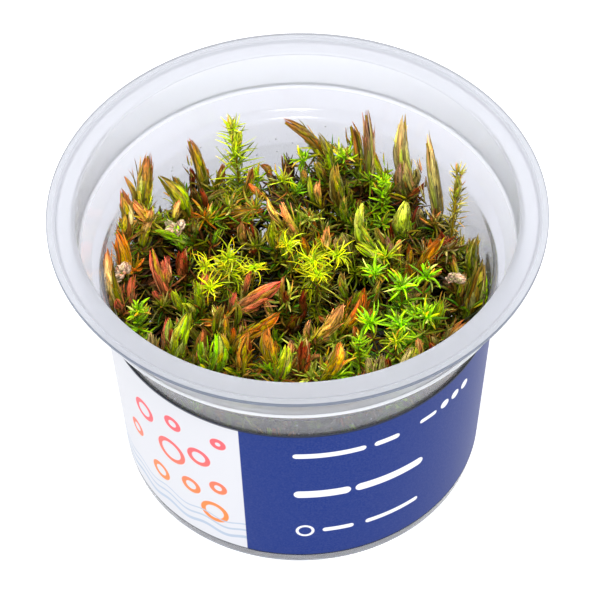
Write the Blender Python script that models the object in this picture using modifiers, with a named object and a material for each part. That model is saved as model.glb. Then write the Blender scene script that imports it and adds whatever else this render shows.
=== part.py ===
"""Rotala in a tissue-culture cup: a clear plastic cup with a wide lid rim, its wrap-round label,
the nutrient gel in its foot, and the shoots of rotala that stand in the gel.

Metres, +Z up. The origin is the centre of the cup's foot, and the cup stands on z = 0.
"""

import math

import bmesh
import bpy
from mathutils import Vector

MM = 0.001
MERGE = 0.00001

# Cup: a thin moulded wall with a flat rim for the lid, an upright neck, and a sloped ledge under it
# that leads in to the tapered body.
CUP_HEIGHT = 68 * MM
WALL = 0.8 * MM
RIM_RADIUS = 50 * MM
RIM_INNER_RADIUS = 44.2 * MM
RIM_THICK = 1.3 * MM
NECK_FOOT_HEIGHT = 57.8 * MM
NECK_FOOT_RADIUS = 44.9 * MM
LEDGE_HEIGHT = 53 * MM
LEDGE_RADIUS = 42.2 * MM
BODY_HEIGHT = 52 * MM
BODY_TOP_RADIUS = 40.3 * MM
BODY_FOOT_RADIUS = 37.4 * MM
FOOT_ROUNDING = 1.6 * MM
FOOT_RING_WIDTH = 6 * MM
FLOOR_RISE = 0.9 * MM
FLOOR_THICK = 1.2 * MM
CUP_STEPS = 40

# Label: a paper band round the body that leaves the back of the cup bare.
LABEL_LOW = 3 * MM
LABEL_HIGH = 45.8 * MM
LABEL_THICK = 0.2 * MM
LABEL_GAP = 0.2 * MM
LABEL_ARC = math.radians(200)
LABEL_STEPS = 32

# Gel: a disc that fills the foot of the cup.
GEL_TOP = 11 * MM
GEL_GAP = 0.3 * MM
GEL_STEPS = 32

# Shoots: a bare stem, a skirt of old leaves as wide as its neighbours leave room for, and a head.
SHOOT_SIDES = 6
STEM_RADIUS = 0.5 * MM
STEM_LEAN = 0.94
NECK_RADIUS = 0.9 * MM
SKIRT_RADIUS_MOST = 4.2 * MM
SKIRT_SHARE = 0.47
SPEAR_FLATNESS = 0.62
FACING = Vector((0.15, -1.0, 0.75)).normalized()
WHORL_LEAVES = 6
WHORL_SPACING = 5 * MM
WHORL_THICK = 0.9 * MM
WHORL_RISE = 0.55
SIDE_SHOOT_FORK = 0.45
WALL_GAP = 0.6 * MM

# Each plantlet is one piece: its main shoot first, then any side shoots that fork from it.
# A shoot is (form, neck, tip, width). The neck is where its closed or open head of leaves begins,
# on a stem that comes up from the gel. All are in millimetres from the origin.
SPEAR, BUSHY = "spear", "bushy"
PLANTLETS = [
    # Left and back left
    [(SPEAR, (-33, 19.5, 49), (-30.5, 24.5, 60), 3.2), (SPEAR, (-30, 17, 44), (-34.3, 14.6, 56), 1.8)],
    [(SPEAR, (-23, 22, 42), (-28.5, 20.5, 56), 3.4)],
    [(SPEAR, (-36.4, 11.5, 48), (-35.8, 14, 60), 2.6), (SPEAR, (-36.5, 6.5, 41), (-37.2, 8, 54), 3.0)],
    [(SPEAR, (-20.5, 32, 40), (-22.6, 31.4, 57), 2.4), (SPEAR, (-24.5, 28.8, 40), (-26.4, 27.6, 49), 2.4)],
    [(SPEAR, (-22.6, 15.3, 41), (-29.7, 12, 49), 2.0)],
    [(SPEAR, (-27, 2, 39), (-29.8, 3.6, 54), 2.2), (SPEAR, (-23.8, 6.8, 39), (-23.4, 6, 50), 2.6)],
    [(SPEAR, (-37.6, -2, 41), (-38.8, 0.5, 57), 2.8), (SPEAR, (-34.6, 0.6, 38), (-33.8, -0.6, 50), 1.8)],
    [(BUSHY, (-33.2, -8.4, 33), (-32.6, -8.8, 49), 7.5)],
    [(BUSHY, (-11.6, 30.4, 31), (-13.2, 31.2, 61), 8.5)],
    [(SPEAR, (-17, 23.4, 41), (-6.7, 20, 46), 2.2)],
    # Back
    [(SPEAR, (-1.2, 34, 37), (-2.6, 33.6, 49), 2.0)],
    [(SPEAR, (5.6, 34.2, 48), (-3, 32.6, 60), 2.4), (SPEAR, (7.6, 32, 44), (4.8, 31.4, 57), 1.8)],
    [(SPEAR, (15.5, 33, 39), (14.7, 34.6, 61), 2.6), (SPEAR, (13.2, 33.6, 42), (11.4, 34.6, 57), 1.8)],
    [(SPEAR, (25.2, 28.5, 41), (22.6, 32.6, 61), 3.2), (SPEAR, (22.2, 28.6, 40), (22, 27.8, 52), 2.2)],
    [(SPEAR, (31, 22.1, 38), (26.8, 26.6, 61), 2.6)],
    [(BUSHY, (33.2, 15.4, 39), (33.4, 17.4, 60), 6.0)],
    [(BUSHY, (17.8, 24.6, 36), (18.2, 24.2, 50), 6.5), (SPEAR, (19.4, 28, 43), (16.4, 28.6, 54), 1.4)],
    [(SPEAR, (1.5, 23.6, 40), (-6, 25, 44), 2.0)],
    [(SPEAR, (9.4, 24.4, 40), (8.2, 26.4, 53), 3.0)],
    # Middle
    [(SPEAR, (-4.3, 12.3, 42), (-5.4, 10.6, 53), 2.6), (SPEAR, (0.4, 15, 43), (-3.2, 16, 53), 1.6)],
    [(BUSHY, (-13.4, 6.4, 31), (-14.4, 4, 50), 12.0)],
    [(SPEAR, (-8.6, 17.4, 36), (-10, 17, 45), 2.6)],
    [(SPEAR, (5.2, 14.4, 36), (4.2, 13.4, 45), 2.4)],
    [(SPEAR, (22, 16.2, 41), (22.6, 15, 53), 3.4)],
    [(SPEAR, (13.4, 14.5, 40), (13.7, 15.4, 53), 2.0), (SPEAR, (11, 11.4, 38), (9.4, 10.8, 48), 1.6)],
    [(SPEAR, (18.3, 6.6, 42), (11.8, 5.6, 51), 2.2), (SPEAR, (19.6, 10.4, 41), (16, 10.4, 51), 2.0)],
    [(SPEAR, (24.6, 6.8, 39), (29.4, 5.2, 53), 2.6)],
    [(SPEAR, (28, 11.6, 39), (33.4, 12.6, 44), 2.6)],
    [(SPEAR, (36.4, 8, 38), (36.8, 7, 51), 2.4)],
    [(SPEAR, (34.8, -0.4, 33), (37, -1, 52), 3.6)],
    [(BUSHY, (2.4, 5.2, 30), (3, 3, 50), 11.5)],
    [(SPEAR, (-13, -3.6, 41), (-3.4, -4.6, 51), 3.2)],
    [(SPEAR, (-2.6, -4.4, 34), (-0.4, -6.6, 43), 2.8)],
    [
        (SPEAR, (-12.6, -11.2, 41), (-3.5, -11.6, 50), 2.6),
        (SPEAR, (-13.8, -14.4, 40), (-9.6, -15.4, 49), 1.6),
    ],
    [(SPEAR, (-17.2, -9, 40), (-15.4, -9.4, 50), 1.8)],
    [(SPEAR, (-20.4, -2.6, 40), (-21, -3.4, 51), 1.8)],
    [(SPEAR, (2.8, -12.8, 42), (8.8, -14.6, 56), 2.8)],
    [(SPEAR, (9.2, -9.4, 41), (13.2, -10.2, 55), 2.6)],
    [(SPEAR, (11, -2.4, 39), (13.4, -4.2, 48), 2.0)],
    [(BUSHY, (21.4, -1.8, 31), (20.8, -3.8, 49), 11.0)],
    # Front, as far as the rim hides
    [
        (SPEAR, (-25.1, -18, 43), (-21.6, -19.4, 60), 3.2),
        (SPEAR, (-21.2, -17.4, 40), (-19.6, -15.6, 50), 2.6),
        (SPEAR, (-29, -15.8, 41), (-29.8, -17, 51), 2.2),
    ],
    [(SPEAR, (-17.4, -21, 43), (-15.8, -22.4, 57), 3.2)],
    [(SPEAR, (-11.8, -21.4, 43), (-10.4, -23, 57), 2.2)],
    [(SPEAR, (-5.2, -20.2, 43), (-6.4, -21.8, 58), 2.8), (SPEAR, (-4.4, -25, 44), (-2.4, -26.4, 57), 2.6)],
    [(SPEAR, (4.8, -24.4, 44), (8, -26.4, 58), 3.0), (SPEAR, (0.4, -21.6, 43), (1.2, -23, 55), 2.8)],
    [(BUSHY, (12.2, -17.4, 35), (11.8, -19.4, 50), 6.5)],
    [(BUSHY, (20.2, -14, 33), (20, -15.8, 51), 10.5)],
    [(SPEAR, (15.6, -24.8, 43), (16, -26.4, 54), 2.4)],
    [(SPEAR, (26.6, -9.2, 40), (29, -9.6, 51), 2.6), (SPEAR, (29.8, -13, 38), (33.8, -13.8, 49), 3.0)],
    # Front, behind the rim
    [
        (SPEAR, (-30.6, -22.8, 41), (-31.6, -24.4, 52), 2.6),
        (SPEAR, (-26.2, -24.6, 39), (-25.6, -26, 49), 2.4),
    ],
    [
        (SPEAR, (-20.4, -30.6, 41), (-21.4, -32.6, 53), 3.0),
        (SPEAR, (-16.8, -27.4, 38), (-15.6, -28.2, 48), 2.0),
    ],
    [(BUSHY, (-10.8, -32.2, 34), (-11, -33, 50), 7.0)],
    [(SPEAR, (-2.4, -34.4, 41), (-3, -36.2, 53), 2.8), (SPEAR, (1.2, -30.6, 38), (2, -31.4, 49), 2.2)],
    [(SPEAR, (8.4, -34, 40), (9.4, -36, 52), 3.0), (SPEAR, (10.8, -30, 38), (11.6, -30.6, 48), 2.0)],
    [(BUSHY, (18.6, -30.2, 34), (18.8, -31.2, 50), 6.5)],
    [(SPEAR, (26.6, -25.6, 41), (28, -27.2, 52), 2.8), (SPEAR, (23.4, -20.8, 39), (23, -21.6, 50), 2.4)],
    [(SPEAR, (33.6, -17.4, 39), (34.8, -17.8, 50), 2.6)],
]

# Colour and roughness of each material, as linear RGB.
FINISHES = {
    "cup_plastic": ((0.80, 0.82, 0.88), 0.35),
    "label_paper": ((0.03, 0.06, 0.26), 0.5),
    "nutrient_gel": ((0.62, 0.60, 0.50), 0.2),
    "spear_leaf": ((0.20, 0.19, 0.05), 0.5),
    "bushy_leaf": ((0.24, 0.38, 0.04), 0.5),
}


def clear_scene():
    for obj in list(bpy.data.objects):
        bpy.data.objects.remove(obj)


def new_collection(name):
    group = bpy.data.collections.new(name)
    bpy.context.scene.collection.children.link(group)
    return group


def make_material(name):
    colour, roughness = FINISHES[name]
    material = bpy.data.materials.new(name)
    material.use_nodes = True
    shader = material.node_tree.nodes["Principled BSDF"]
    shader.inputs["Base Color"].default_value = (*colour, 1.0)
    shader.inputs["Roughness"].default_value = roughness
    shader.inputs["Metallic"].default_value = 0.0
    return material


def mesh_object(name, bm, material, collection):
    """Closes the work on a bmesh: its object is linked, with one material."""
    mesh = bpy.data.meshes.new(name)
    bm.to_mesh(mesh)
    bm.free()
    mesh.materials.append(material)
    obj = bpy.data.objects.new(name, mesh)
    collection.objects.link(obj)
    return obj


def turned_object(name, profile, steps, material, collection):
    """Turns a profile of (radius, height) points once round the Z axis with a Screw modifier."""
    bm = bmesh.new()
    points = [bm.verts.new((radius, 0, height)) for radius, height in profile]
    for first, second in zip(points, points[1:]):
        bm.edges.new((first, second))
    obj = mesh_object(name, bm, material, collection)
    screw = obj.modifiers.new("Turn", "SCREW")
    screw.steps = screw.render_steps = steps
    screw.use_merge_vertices = True
    screw.merge_threshold = MERGE
    obj.data.shade_smooth()
    obj.data.set_sharp_from_angle(angle=math.radians(35))
    return obj


def body_radius(height):
    """Outer radius of the cup's tapered body at a height."""
    share = (height - FOOT_ROUNDING) / (BODY_HEIGHT - FOOT_ROUNDING)
    return BODY_FOOT_RADIUS + (BODY_TOP_RADIUS - BODY_FOOT_RADIUS) * share


def inner_radius(height):
    """Radius inside the wall at a height: the body's, then the ledge's, then the neck's."""
    if height < BODY_HEIGHT:
        return body_radius(height) - WALL
    share = min((height - BODY_HEIGHT) / (NECK_FOOT_HEIGHT + WALL - BODY_HEIGHT), 1)
    return BODY_TOP_RADIUS - WALL + (NECK_FOOT_RADIUS - BODY_TOP_RADIUS) * share


def make_cup(collection):
    """One wall, from the centre of the floor's underside out, up to the rim and down inside again."""
    under_rim = CUP_HEIGHT - RIM_THICK
    floor_top = FLOOR_RISE + FLOOR_THICK
    edge_bevel = 0.35 * RIM_THICK
    inner_foot = body_radius(floor_top + WALL) - WALL
    outside = [
        (0, FLOOR_RISE),
        (BODY_FOOT_RADIUS - FOOT_ROUNDING - FOOT_RING_WIDTH, FLOOR_RISE),
        (BODY_FOOT_RADIUS - FOOT_ROUNDING - FOOT_RING_WIDTH + FLOOR_RISE, 0),
        (BODY_FOOT_RADIUS - FOOT_ROUNDING, 0),
        (BODY_FOOT_RADIUS, FOOT_ROUNDING),
        (BODY_TOP_RADIUS, BODY_HEIGHT),
        (LEDGE_RADIUS, LEDGE_HEIGHT),
        (NECK_FOOT_RADIUS, NECK_FOOT_HEIGHT),
        (RIM_INNER_RADIUS + WALL, under_rim),
        (RIM_RADIUS - edge_bevel, under_rim),
        (RIM_RADIUS, under_rim + edge_bevel),
        (RIM_RADIUS, CUP_HEIGHT - edge_bevel),
        (RIM_RADIUS - edge_bevel, CUP_HEIGHT),
    ]
    inside = [
        (RIM_INNER_RADIUS, CUP_HEIGHT),
        (NECK_FOOT_RADIUS - WALL, NECK_FOOT_HEIGHT + WALL),
        (LEDGE_RADIUS - 0.5 * WALL, LEDGE_HEIGHT + WALL),
        (BODY_TOP_RADIUS - WALL, BODY_HEIGHT + WALL),
        (inner_foot, floor_top + WALL),
        (inner_foot - WALL, floor_top),
        (0, floor_top),
    ]
    # The Screw wants its profile to run down the outer side, so the list is turned about.
    profile = list(reversed(outside + inside))
    return turned_object("cup", profile, CUP_STEPS, make_material("cup_plastic"), collection)


def make_label(collection):
    """A thin band on the body, built as an arc of two-point columns and thickened by Solidify."""
    bm = bmesh.new()
    columns = []
    for step in range(LABEL_STEPS + 1):
        angle = -math.pi / 2 + LABEL_ARC * (step / LABEL_STEPS - 0.5)
        column = []
        for height in (LABEL_LOW, LABEL_HIGH):
            radius = body_radius(height) + LABEL_GAP
            column.append(bm.verts.new((radius * math.cos(angle), radius * math.sin(angle), height)))
        columns.append(column)
    for near, far in zip(columns, columns[1:]):
        bm.faces.new((near[0], far[0], far[1], near[1]))
    obj = mesh_object("label", bm, make_material("label_paper"), collection)
    solidify = obj.modifiers.new("Paper", "SOLIDIFY")
    solidify.thickness = LABEL_THICK
    solidify.offset = 1.0
    obj.data.shade_smooth()
    return obj


def make_gel(collection):
    """A turned plug of gel, clear of the floor and the wall, with a meniscus round its edge."""
    low = FLOOR_RISE + FLOOR_THICK + GEL_GAP
    foot_radius = body_radius(low) - 2 * WALL - GEL_GAP
    top_radius = body_radius(GEL_TOP) - WALL - GEL_GAP
    shoulder = low + 2 * WALL
    profile = [
        (0, GEL_TOP),
        (top_radius - 2 * MM, GEL_TOP),
        (top_radius, GEL_TOP + 0.8 * MM),
        (body_radius(shoulder) - WALL - GEL_GAP, shoulder),
        (foot_radius, low),
        (0, low),
    ]
    return turned_object("gel", profile, GEL_STEPS, make_material("nutrient_gel"), collection)


def loft(rings):
    """A closed skin through rings of equal point counts, each end closed by a flat cap."""
    bm = bmesh.new()
    loops = [[bm.verts.new(point) for point in ring] for ring in rings]
    count = len(rings[0])
    for lower, upper in zip(loops, loops[1:]):
        for i in range(count):
            j = (i + 1) % count
            bm.faces.new((lower[i], lower[j], upper[j], upper[i]))
    bm.faces.new(list(reversed(loops[0])))
    bm.faces.new(loops[-1])
    bmesh.ops.recalc_face_normals(bm, faces=bm.faces)
    return bm


def across(direction):
    """Two unit vectors square to a shoot's direction: along its broad side, and through it."""
    broad = direction.cross(FACING).normalized()
    return broad, direction.cross(broad).normalized()


def oval_ring(centre, direction, half_width, half_depth, sides):
    broad, deep = across(direction)
    ring = []
    for side in range(sides):
        angle = math.tau * side / sides
        offset = broad * (half_width * math.cos(angle)) + deep * (half_depth * math.sin(angle))
        ring.append(centre + offset)
    return ring


def shoot_place(point, width):
    """A listed place in metres, drawn in where a head of that width would come too near the wall."""
    place = Vector(point) * MM
    room = inner_radius(place.z) - 0.5 * width * MM - WALL_GAP
    share = min(1, room / place.xy.length)
    return Vector((place.x * share, place.y * share, place.z))


def stem_foot(neck):
    """Where a shoot's stem stands on the gel: under its neck, drawn in towards the cup's middle."""
    return Vector((neck.x * STEM_LEAN, neck.y * STEM_LEAN, GEL_TOP + GEL_GAP))


def skirt_rings(foot, neck, skirt, sides):
    """A bare foot on the gel, then the old leaves, widest above half way up the stem."""
    stem = (neck - foot).normalized()
    rings = [oval_ring(foot, stem, STEM_RADIUS, STEM_RADIUS, sides)]
    for along, share in ((0.12, 0.75), (0.62, 1.0)):
        radius = max(skirt * share, STEM_RADIUS)
        rings.append(oval_ring(foot.lerp(neck, along), stem, radius, radius, sides))
    return rings


def spear_head(neck, tip, width, sides):
    """The closed head: a flat spindle that ends in a point."""
    head = (tip - neck).normalized()
    half = width / 2
    neck_radius = min(NECK_RADIUS, half)
    rings = [oval_ring(neck, head, neck_radius, neck_radius, sides)]
    for along, share in ((0.35, 1.0), (0.72, 0.72)):
        centre = neck.lerp(tip, along)
        rings.append(oval_ring(centre, head, half * share, half * share * SPEAR_FLATNESS, sides))
    rings.append(oval_ring(tip, head, 0.12 * half, 0.12 * half, sides))
    return rings


def star_ring(centre, direction, leaf_radius, turn):
    """Out to the raised end of each leaf in a whorl, and in to the stem between them."""
    broad, deep = across(direction)
    ring = []
    for i in range(2 * WHORL_LEAVES):
        angle = turn + math.pi * i / WHORL_LEAVES
        is_leaf = i % 2 == 0
        radius = leaf_radius if is_leaf else 1.3 * STEM_RADIUS
        lift = WHORL_RISE * leaf_radius if is_leaf else 0.4 * WHORL_THICK
        offset = broad * (radius * math.cos(angle)) + deep * (radius * math.sin(angle))
        ring.append(centre + offset + direction * lift)
    return ring


def bushy_head(neck, tip, width):
    """Open whorls of leaves one above the other, smaller towards the tip."""
    sides = 2 * WHORL_LEAVES
    head = (tip - neck).normalized()
    whorls = max(3, round((tip - neck).length / WHORL_SPACING))
    rings = [oval_ring(neck, head, STEM_RADIUS, STEM_RADIUS, sides)]
    for i in range(whorls):
        along = (i + 0.5) / (whorls + 0.5)
        start = neck.lerp(tip, along)
        radius = width / 2 * (1 - 0.55 * along ** 2)
        turn = math.pi / WHORL_LEAVES * (i % 2)
        rings.append(star_ring(start, head, radius, turn))
        rings.append(oval_ring(start + head * WHORL_THICK, head, STEM_RADIUS, STEM_RADIUS, sides))
    rings.append(oval_ring(tip, head, 0.3 * STEM_RADIUS, 0.3 * STEM_RADIUS, sides))
    return rings


def main_shoot_rings(form, foot, neck, tip, width, skirt):
    if form == SPEAR:
        return skirt_rings(foot, neck, skirt, SHOOT_SIDES) + spear_head(neck, tip, width, SHOOT_SIDES)
    return skirt_rings(foot, neck, skirt, 2 * WHORL_LEAVES) + bushy_head(neck, tip, width)


def side_shoot_rings(fork, neck, tip, width):
    """A spear on a thin stem that starts inside the main one."""
    stem = (neck - fork).normalized()
    return [oval_ring(fork, stem, STEM_RADIUS, STEM_RADIUS, SHOOT_SIDES)] + spear_head(
        neck, tip, width, SHOOT_SIDES
    )


def make_plantlet(name, shoots, skirt, material, collection, helpers):
    """The main shoot from the gel up, with each side shoot joined to its stem."""
    form, neck, tip, width = shoots[0]
    neck, tip = shoot_place(neck, width), shoot_place(tip, width)
    foot = stem_foot(neck)
    rings = main_shoot_rings(form, foot, neck, tip, width * MM, skirt)
    main_shoot = mesh_object(name, loft(rings), material, collection)
    fork = foot.lerp(neck, SIDE_SHOOT_FORK)
    for index, (_, side_neck, side_tip, side_width) in enumerate(shoots[1:]):
        side_neck = shoot_place(side_neck, side_width)
        side_tip = shoot_place(side_tip, side_width)
        rings = side_shoot_rings(fork, side_neck, side_tip, side_width * MM)
        side = mesh_object(f"{name}_side_{index + 1}", loft(rings), material, helpers)
        side.hide_render = True
        side.display_type = "WIRE"
        join = main_shoot.modifiers.new(f"Side shoot {index + 1}", "BOOLEAN")
        join.operation = "UNION"
        join.object = side
    return main_shoot


def skirt_radius(foot, neck, other_feet):
    """Room for a plantlet's old leaves, up to the wall and to near half way to the nearest stem."""
    nearest = min((foot - other).length for other in other_feet)
    middle = foot.lerp(neck, 0.5)
    to_wall = body_radius(middle.z) - WALL - GEL_GAP - middle.xy.length
    return min(SKIRT_RADIUS_MOST, SKIRT_SHARE * nearest, to_wall)


def make_plants(collection, helpers):
    """Every plantlet in turn, numbered apart by the form of its main shoot."""
    materials = {SPEAR: make_material("spear_leaf"), BUSHY: make_material("bushy_leaf")}
    counts = {SPEAR: 0, BUSHY: 0}
    necks = [shoot_place(shoots[0][1], shoots[0][3]) for shoots in PLANTLETS]
    feet = [stem_foot(neck) for neck in necks]
    for index, shoots in enumerate(PLANTLETS):
        form = shoots[0][0]
        counts[form] += 1
        skirt = skirt_radius(feet[index], necks[index], feet[:index] + feet[index + 1:])
        name = f"{form}_shoot_{counts[form]:02d}"
        make_plantlet(name, shoots, skirt, materials[form], collection, helpers)


def main():
    clear_scene()
    rotala = new_collection("rotala_cup")
    helpers = new_collection("side_shoots")
    make_cup(rotala)
    make_label(rotala)
    make_gel(rotala)
    make_plants(rotala, helpers)


main()
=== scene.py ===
"""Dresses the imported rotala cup: clear moulded plastic, printed label, gel, and the leaves of each plant."""

import math
import random
from collections import namedtuple

import bmesh
import bpy
from mathutils import Matrix, Vector


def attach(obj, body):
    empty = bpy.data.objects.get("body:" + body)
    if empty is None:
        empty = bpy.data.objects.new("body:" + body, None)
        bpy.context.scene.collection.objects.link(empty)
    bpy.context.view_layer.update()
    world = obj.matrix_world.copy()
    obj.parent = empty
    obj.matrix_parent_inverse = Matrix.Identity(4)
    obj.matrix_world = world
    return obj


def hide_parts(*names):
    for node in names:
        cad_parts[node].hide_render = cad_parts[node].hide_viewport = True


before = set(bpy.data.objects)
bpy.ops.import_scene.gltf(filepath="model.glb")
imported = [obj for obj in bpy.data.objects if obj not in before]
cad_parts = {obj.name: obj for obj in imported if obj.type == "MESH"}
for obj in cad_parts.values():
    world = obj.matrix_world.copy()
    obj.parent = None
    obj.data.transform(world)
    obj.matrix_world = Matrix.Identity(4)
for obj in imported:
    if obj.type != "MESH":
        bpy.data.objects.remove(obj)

bl_info = {
    "name": "Rotala cup",
    "version": (1, 0, 0),
    "blender": (4, 5, 0),
    "location": "View3D > Sidebar > Rotala",
    "description": "Builds the plastic, the label, the gel and the leaves of a cup of rotala",
    "category": "Object",
}

MM = 0.001
MERGE = 0.00001

# Cup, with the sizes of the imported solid.
CUP_HEIGHT = 68 * MM
WALL = 0.8 * MM
RIM_RADIUS = 50 * MM
RIM_INNER_RADIUS = 44.2 * MM
RIM_THICK = 1.3 * MM
NECK_FOOT_HEIGHT = 57.8 * MM
NECK_FOOT_RADIUS = 44.9 * MM
LEDGE_HEIGHT = 53 * MM
LEDGE_RADIUS = 42.2 * MM
BODY_HEIGHT = 52 * MM
BODY_TOP_RADIUS = 40.3 * MM
BODY_FOOT_RADIUS = 37.4 * MM
FOOT_ROUNDING = 1.6 * MM
FOOT_RING_WIDTH = 6 * MM
FLOOR_RISE = 0.9 * MM
FLOOR_THICK = 1.2 * MM

# Trim on the cup: the raised lip of its rim, and the bead where its neck begins.
LIP_WIDTH = 1.7 * MM
LIP_RISE = 0.3 * MM
LIP_THICK = 0.9 * MM
BEAD_SIZE = 0.7 * MM
BEAD_HEIGHT = 0.4 * MM
BEAD_ROOT = 0.2 * MM

# How far in from the rim's edge its side shows painted shade and its lip a painted highlight, each a plastic
# of its own.
LIP_SIDE_BAND = 0.1 * MM
LIP_TOP_BAND = 1.1 * MM

# Facets in a rounded corner, and the angle past which a turned or bent piece shows a crease.
ROUNDING_STEPS = 4
SHARP_ANGLE = math.radians(40)

# Label, with the order of its materials, and gel.
LABEL_LOW = 3 * MM
LABEL_HIGH = 45.8 * MM
LABEL_THICK = 0.2 * MM
LABEL_GAP = 0.2 * MM
LABEL_ARC = math.radians(200)
LABEL_STEPS = 160
LABEL_PRINT, LABEL_BACK, LABEL_CUT = range(3)
GEL_TOP = 11 * MM
GEL_GAP = 0.3 * MM
GEL_STEPS = 96

# Condensation: the part of the wall that it covers.
DROPS_LOW = 17 * MM
DROPS_HIGH = 51.5 * MM
DROPS_STEPS = 96
DROPS_SEED = 3

# Each plastic: its name, colour, how clear it is and how rough.
# The lip's plastic is lighter as a painted highlight, the bead's near white as a painted highlight, and that
# of the rim's side dark as painted shade.
PLASTICS = (
    ("body_plastic", (0.66, 0.67, 0.72), 0.85, 0.12),
    ("ledge_plastic", (0.69, 0.70, 0.76), 0.88, 0.14),
    ("neck_plastic", (0.86, 0.88, 0.94), 0.85, 0.5),
    ("flange_plastic", (0.695, 0.71, 0.77), 0.45, 0.4),
    ("lip_highlight_plastic", (0.78, 0.80, 0.86), 0.5, 0.25),
    ("bead_highlight_plastic", (0.92, 0.94, 0.97), 0.1, 0.2),
    ("lip_side_shade_plastic", (0.17, 0.20, 0.27), 0.3, 0.3),
    ("foot_plastic", (0.36, 0.42, 0.50), 0.5, 0.15),
)
BODY, LEDGE, NECK, FLANGE, LIP_HIGHLIGHT, BEAD_HIGHLIGHT, LIP_SIDE_SHADE, FOOT = range(len(PLASTICS))

# The label's bare back and its cut edge, dark as painted shade: name, scale and detail of the mottle, and two
# colours.
BARE_PAPERS = (
    ("label_back", 900.0, 3.0, (0.86, 0.86, 0.9), (0.92, 0.92, 0.95)),
    ("label_edge_shade", 700.0, 2.0, (0.05, 0.06, 0.09), (0.09, 0.10, 0.14)),
)

# How soft the edges of the print are.
PRINT_EDGE = 0.12 * MM

# Label print, in millimetres along the label from its front and up from the cup's foot: where the blue
# side begins, bars as (x, z, half length, half height), the rest as (x, z, radius).
PANEL_EDGE = -12.8
BARS = (
    (5.5, 39, 7.5, 0.75), (17.6, 39, 2.8, 0.75), (27.6, 39.4, 2.2, 0.6),
    (4, 25.5, 6, 1.15), (19, 25.5, 8, 1.15),
    (7.4, 12.2, 3.4, 0.65), (20, 12.2, 6.5, 0.65),
)
DOTS = ((32.2, 39.7, 1.15), (35.5, 39.7, 1.15), (38.8, 39.7, 1.15))
MARKS = ((0.2, 12.2, 1.7),)
BUBBLES = (
    (-20, 13.2, 2.8), (-25.5, 19.2, 1.9), (-18.5, 22.7, 1.5), (-30, 27.7, 3.2), (-22.5, 31.2, 2.2),
    (-34.5, 16.7, 2.1), (-37.5, 34.7, 2.4), (-28.5, 38.2, 1.6), (-17.5, 38.7, 1.2), (-42, 24.2, 1.7),
)

# Half the width of the line that a ring is drawn with.
MARK_HALF_WIDTH = 0.3
BUBBLE_HALF_WIDTH = 0.6

# Print colours: rings low and high on the label, wavy lines, and marks on the blue side.
RING_COLOURS = ((232, 132, 66), (236, 96, 104))
WAVE_COLOUR = (172, 186, 204)
MARK_COLOUR = (238, 240, 246)

# Wavy lines at the foot of the white side: the height and half width of each, then how far they swing
# and how soft their edges are, all in millimetres, and how fast they swing, in radians a metre.
WAVES = ((6.8, 0.5), (9.4, 0.32), (11.6, 0.22))
WAVE_SWING = 0.6
WAVE_EDGE = 0.15
WAVE_RATE = 620.0

# Shoots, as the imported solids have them. FACING is where the broad side of a closed head looks.
STEM_RADIUS = 0.5 * MM
STEM_LEAN = 0.94
SPEAR_FLATNESS = 0.62
FACING = Vector((0.15, -1.0, 0.75)).normalized()
SIDE_SHOOT_FORK = 0.45
WALL_GAP = 0.6 * MM

# How deep the stems stand in the gel, and how near the wall the middle of a leaf may come.
STEM_SINK = 1 * MM
LEAF_GAP = 0.5 * MM

# The forms of strand: open leaves, leaves of a closed head, and stems.
NEEDLE, BLADE, STEM = range(3)

# How flat leaves are, and how many sides they have across.
LEAF_SECTIONS = {"Needle flatness": 0.5, "Blade flatness": 0.28, "Needle sides": 3, "Blade sides": 5}

# Widths along a leaf, from its foot to its tip, as shares of its width.
NEEDLE_WIDTHS = (0.7, 1.0, 0.95, 0.7, 0.15)
BLADE_WIDTHS = (0.6, 0.95, 1.0, 0.95, 0.8, 0.5, 0.1)

# Half width of a closed head along its length, as shares of its length and of half its width.
SPINDLE = ((-0.15, 0.55), (0.1, 0.85), (0.35, 1.0), (0.6, 0.9), (0.8, 0.62), (0.92, 0.38), (1.0, 0.14))

# How far round a closed head the next leaf stands, so that no two are in line.
GOLDEN_ANGLE = math.radians(137.5)

# How far the tips of a closed head's leaves stand off it, as shares of half its width.
BLADE_FLARES = (-0.1, 0.0, 0.0, 0.08, 0.15, 0.3, 0.6)

# Old leaves along a stem, by share of the way up it: length as a share, splay in degrees.
OLD_LEAF_LENGTHS = ((0, 0.7), (0.3, 1.0), (0.8, 1.0), (1.0, 0.75))
OLD_LEAF_SPLAY = ((0, 80), (0.7, 64), (1.0, 42))

# Leaves of an open head, by share of the way up it: length as a share, splay in degrees.
BUSHY_LENGTHS = ((0, 1.0), (0.6, 0.9), (1.0, 0.6))
BUSHY_SPLAY = ((0, 68), (0.6, 56), (1.0, 30))

# How much of its colour a leaf keeps by its height in millimetres, as painted shade low in the cup and painted
# light at its top.
PAINTED_DEPTH_SHADE = ((14, 0.08), (27, 0.14), (36, 0.32), (43, 0.8), (50, 1.25), (59, 1.25))

# The least that it keeps beside the wall, as painted light coming in through the plastic, and where that
# starts and is full, in millimetres.
WALL_PAINTED_LIGHT = 0.75
WALL_PAINTED_LIGHT_START = 30
WALL_PAINTED_LIGHT_FULL = 38

# How light one leaf may be against the next: least, most and most often.
NEEDLE_LIGHT = (0.3, 2.2, 0.7)
BLADE_LIGHT = (0.3, 2.2, 0.8)

# Fine leaves on the side of each closed head.
WISPS = 12

# How far a whorl may lean out of line with its stem.
WHORL_TILT = 0.22

# Leaves in a whorl of dead leaves, under a closed head and on a small side shoot.
LITTER_WHORL = 7
COLLAR_WHORL = 7
SPRIG_WHORL = 6

# For the main shoot of a plantlet and for its other shoots: how much of the stem is bare at its foot,
# and how many small side shoots it has.
MAIN_BARE, MAIN_SPRIGS = 0.08, 6
OTHER_BARE, OTHER_SPRIGS = 0.25, 2

# How far up a stem the listed small side shoots and dead tufts leave it.
LISTED_FORK = 0.7

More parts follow.
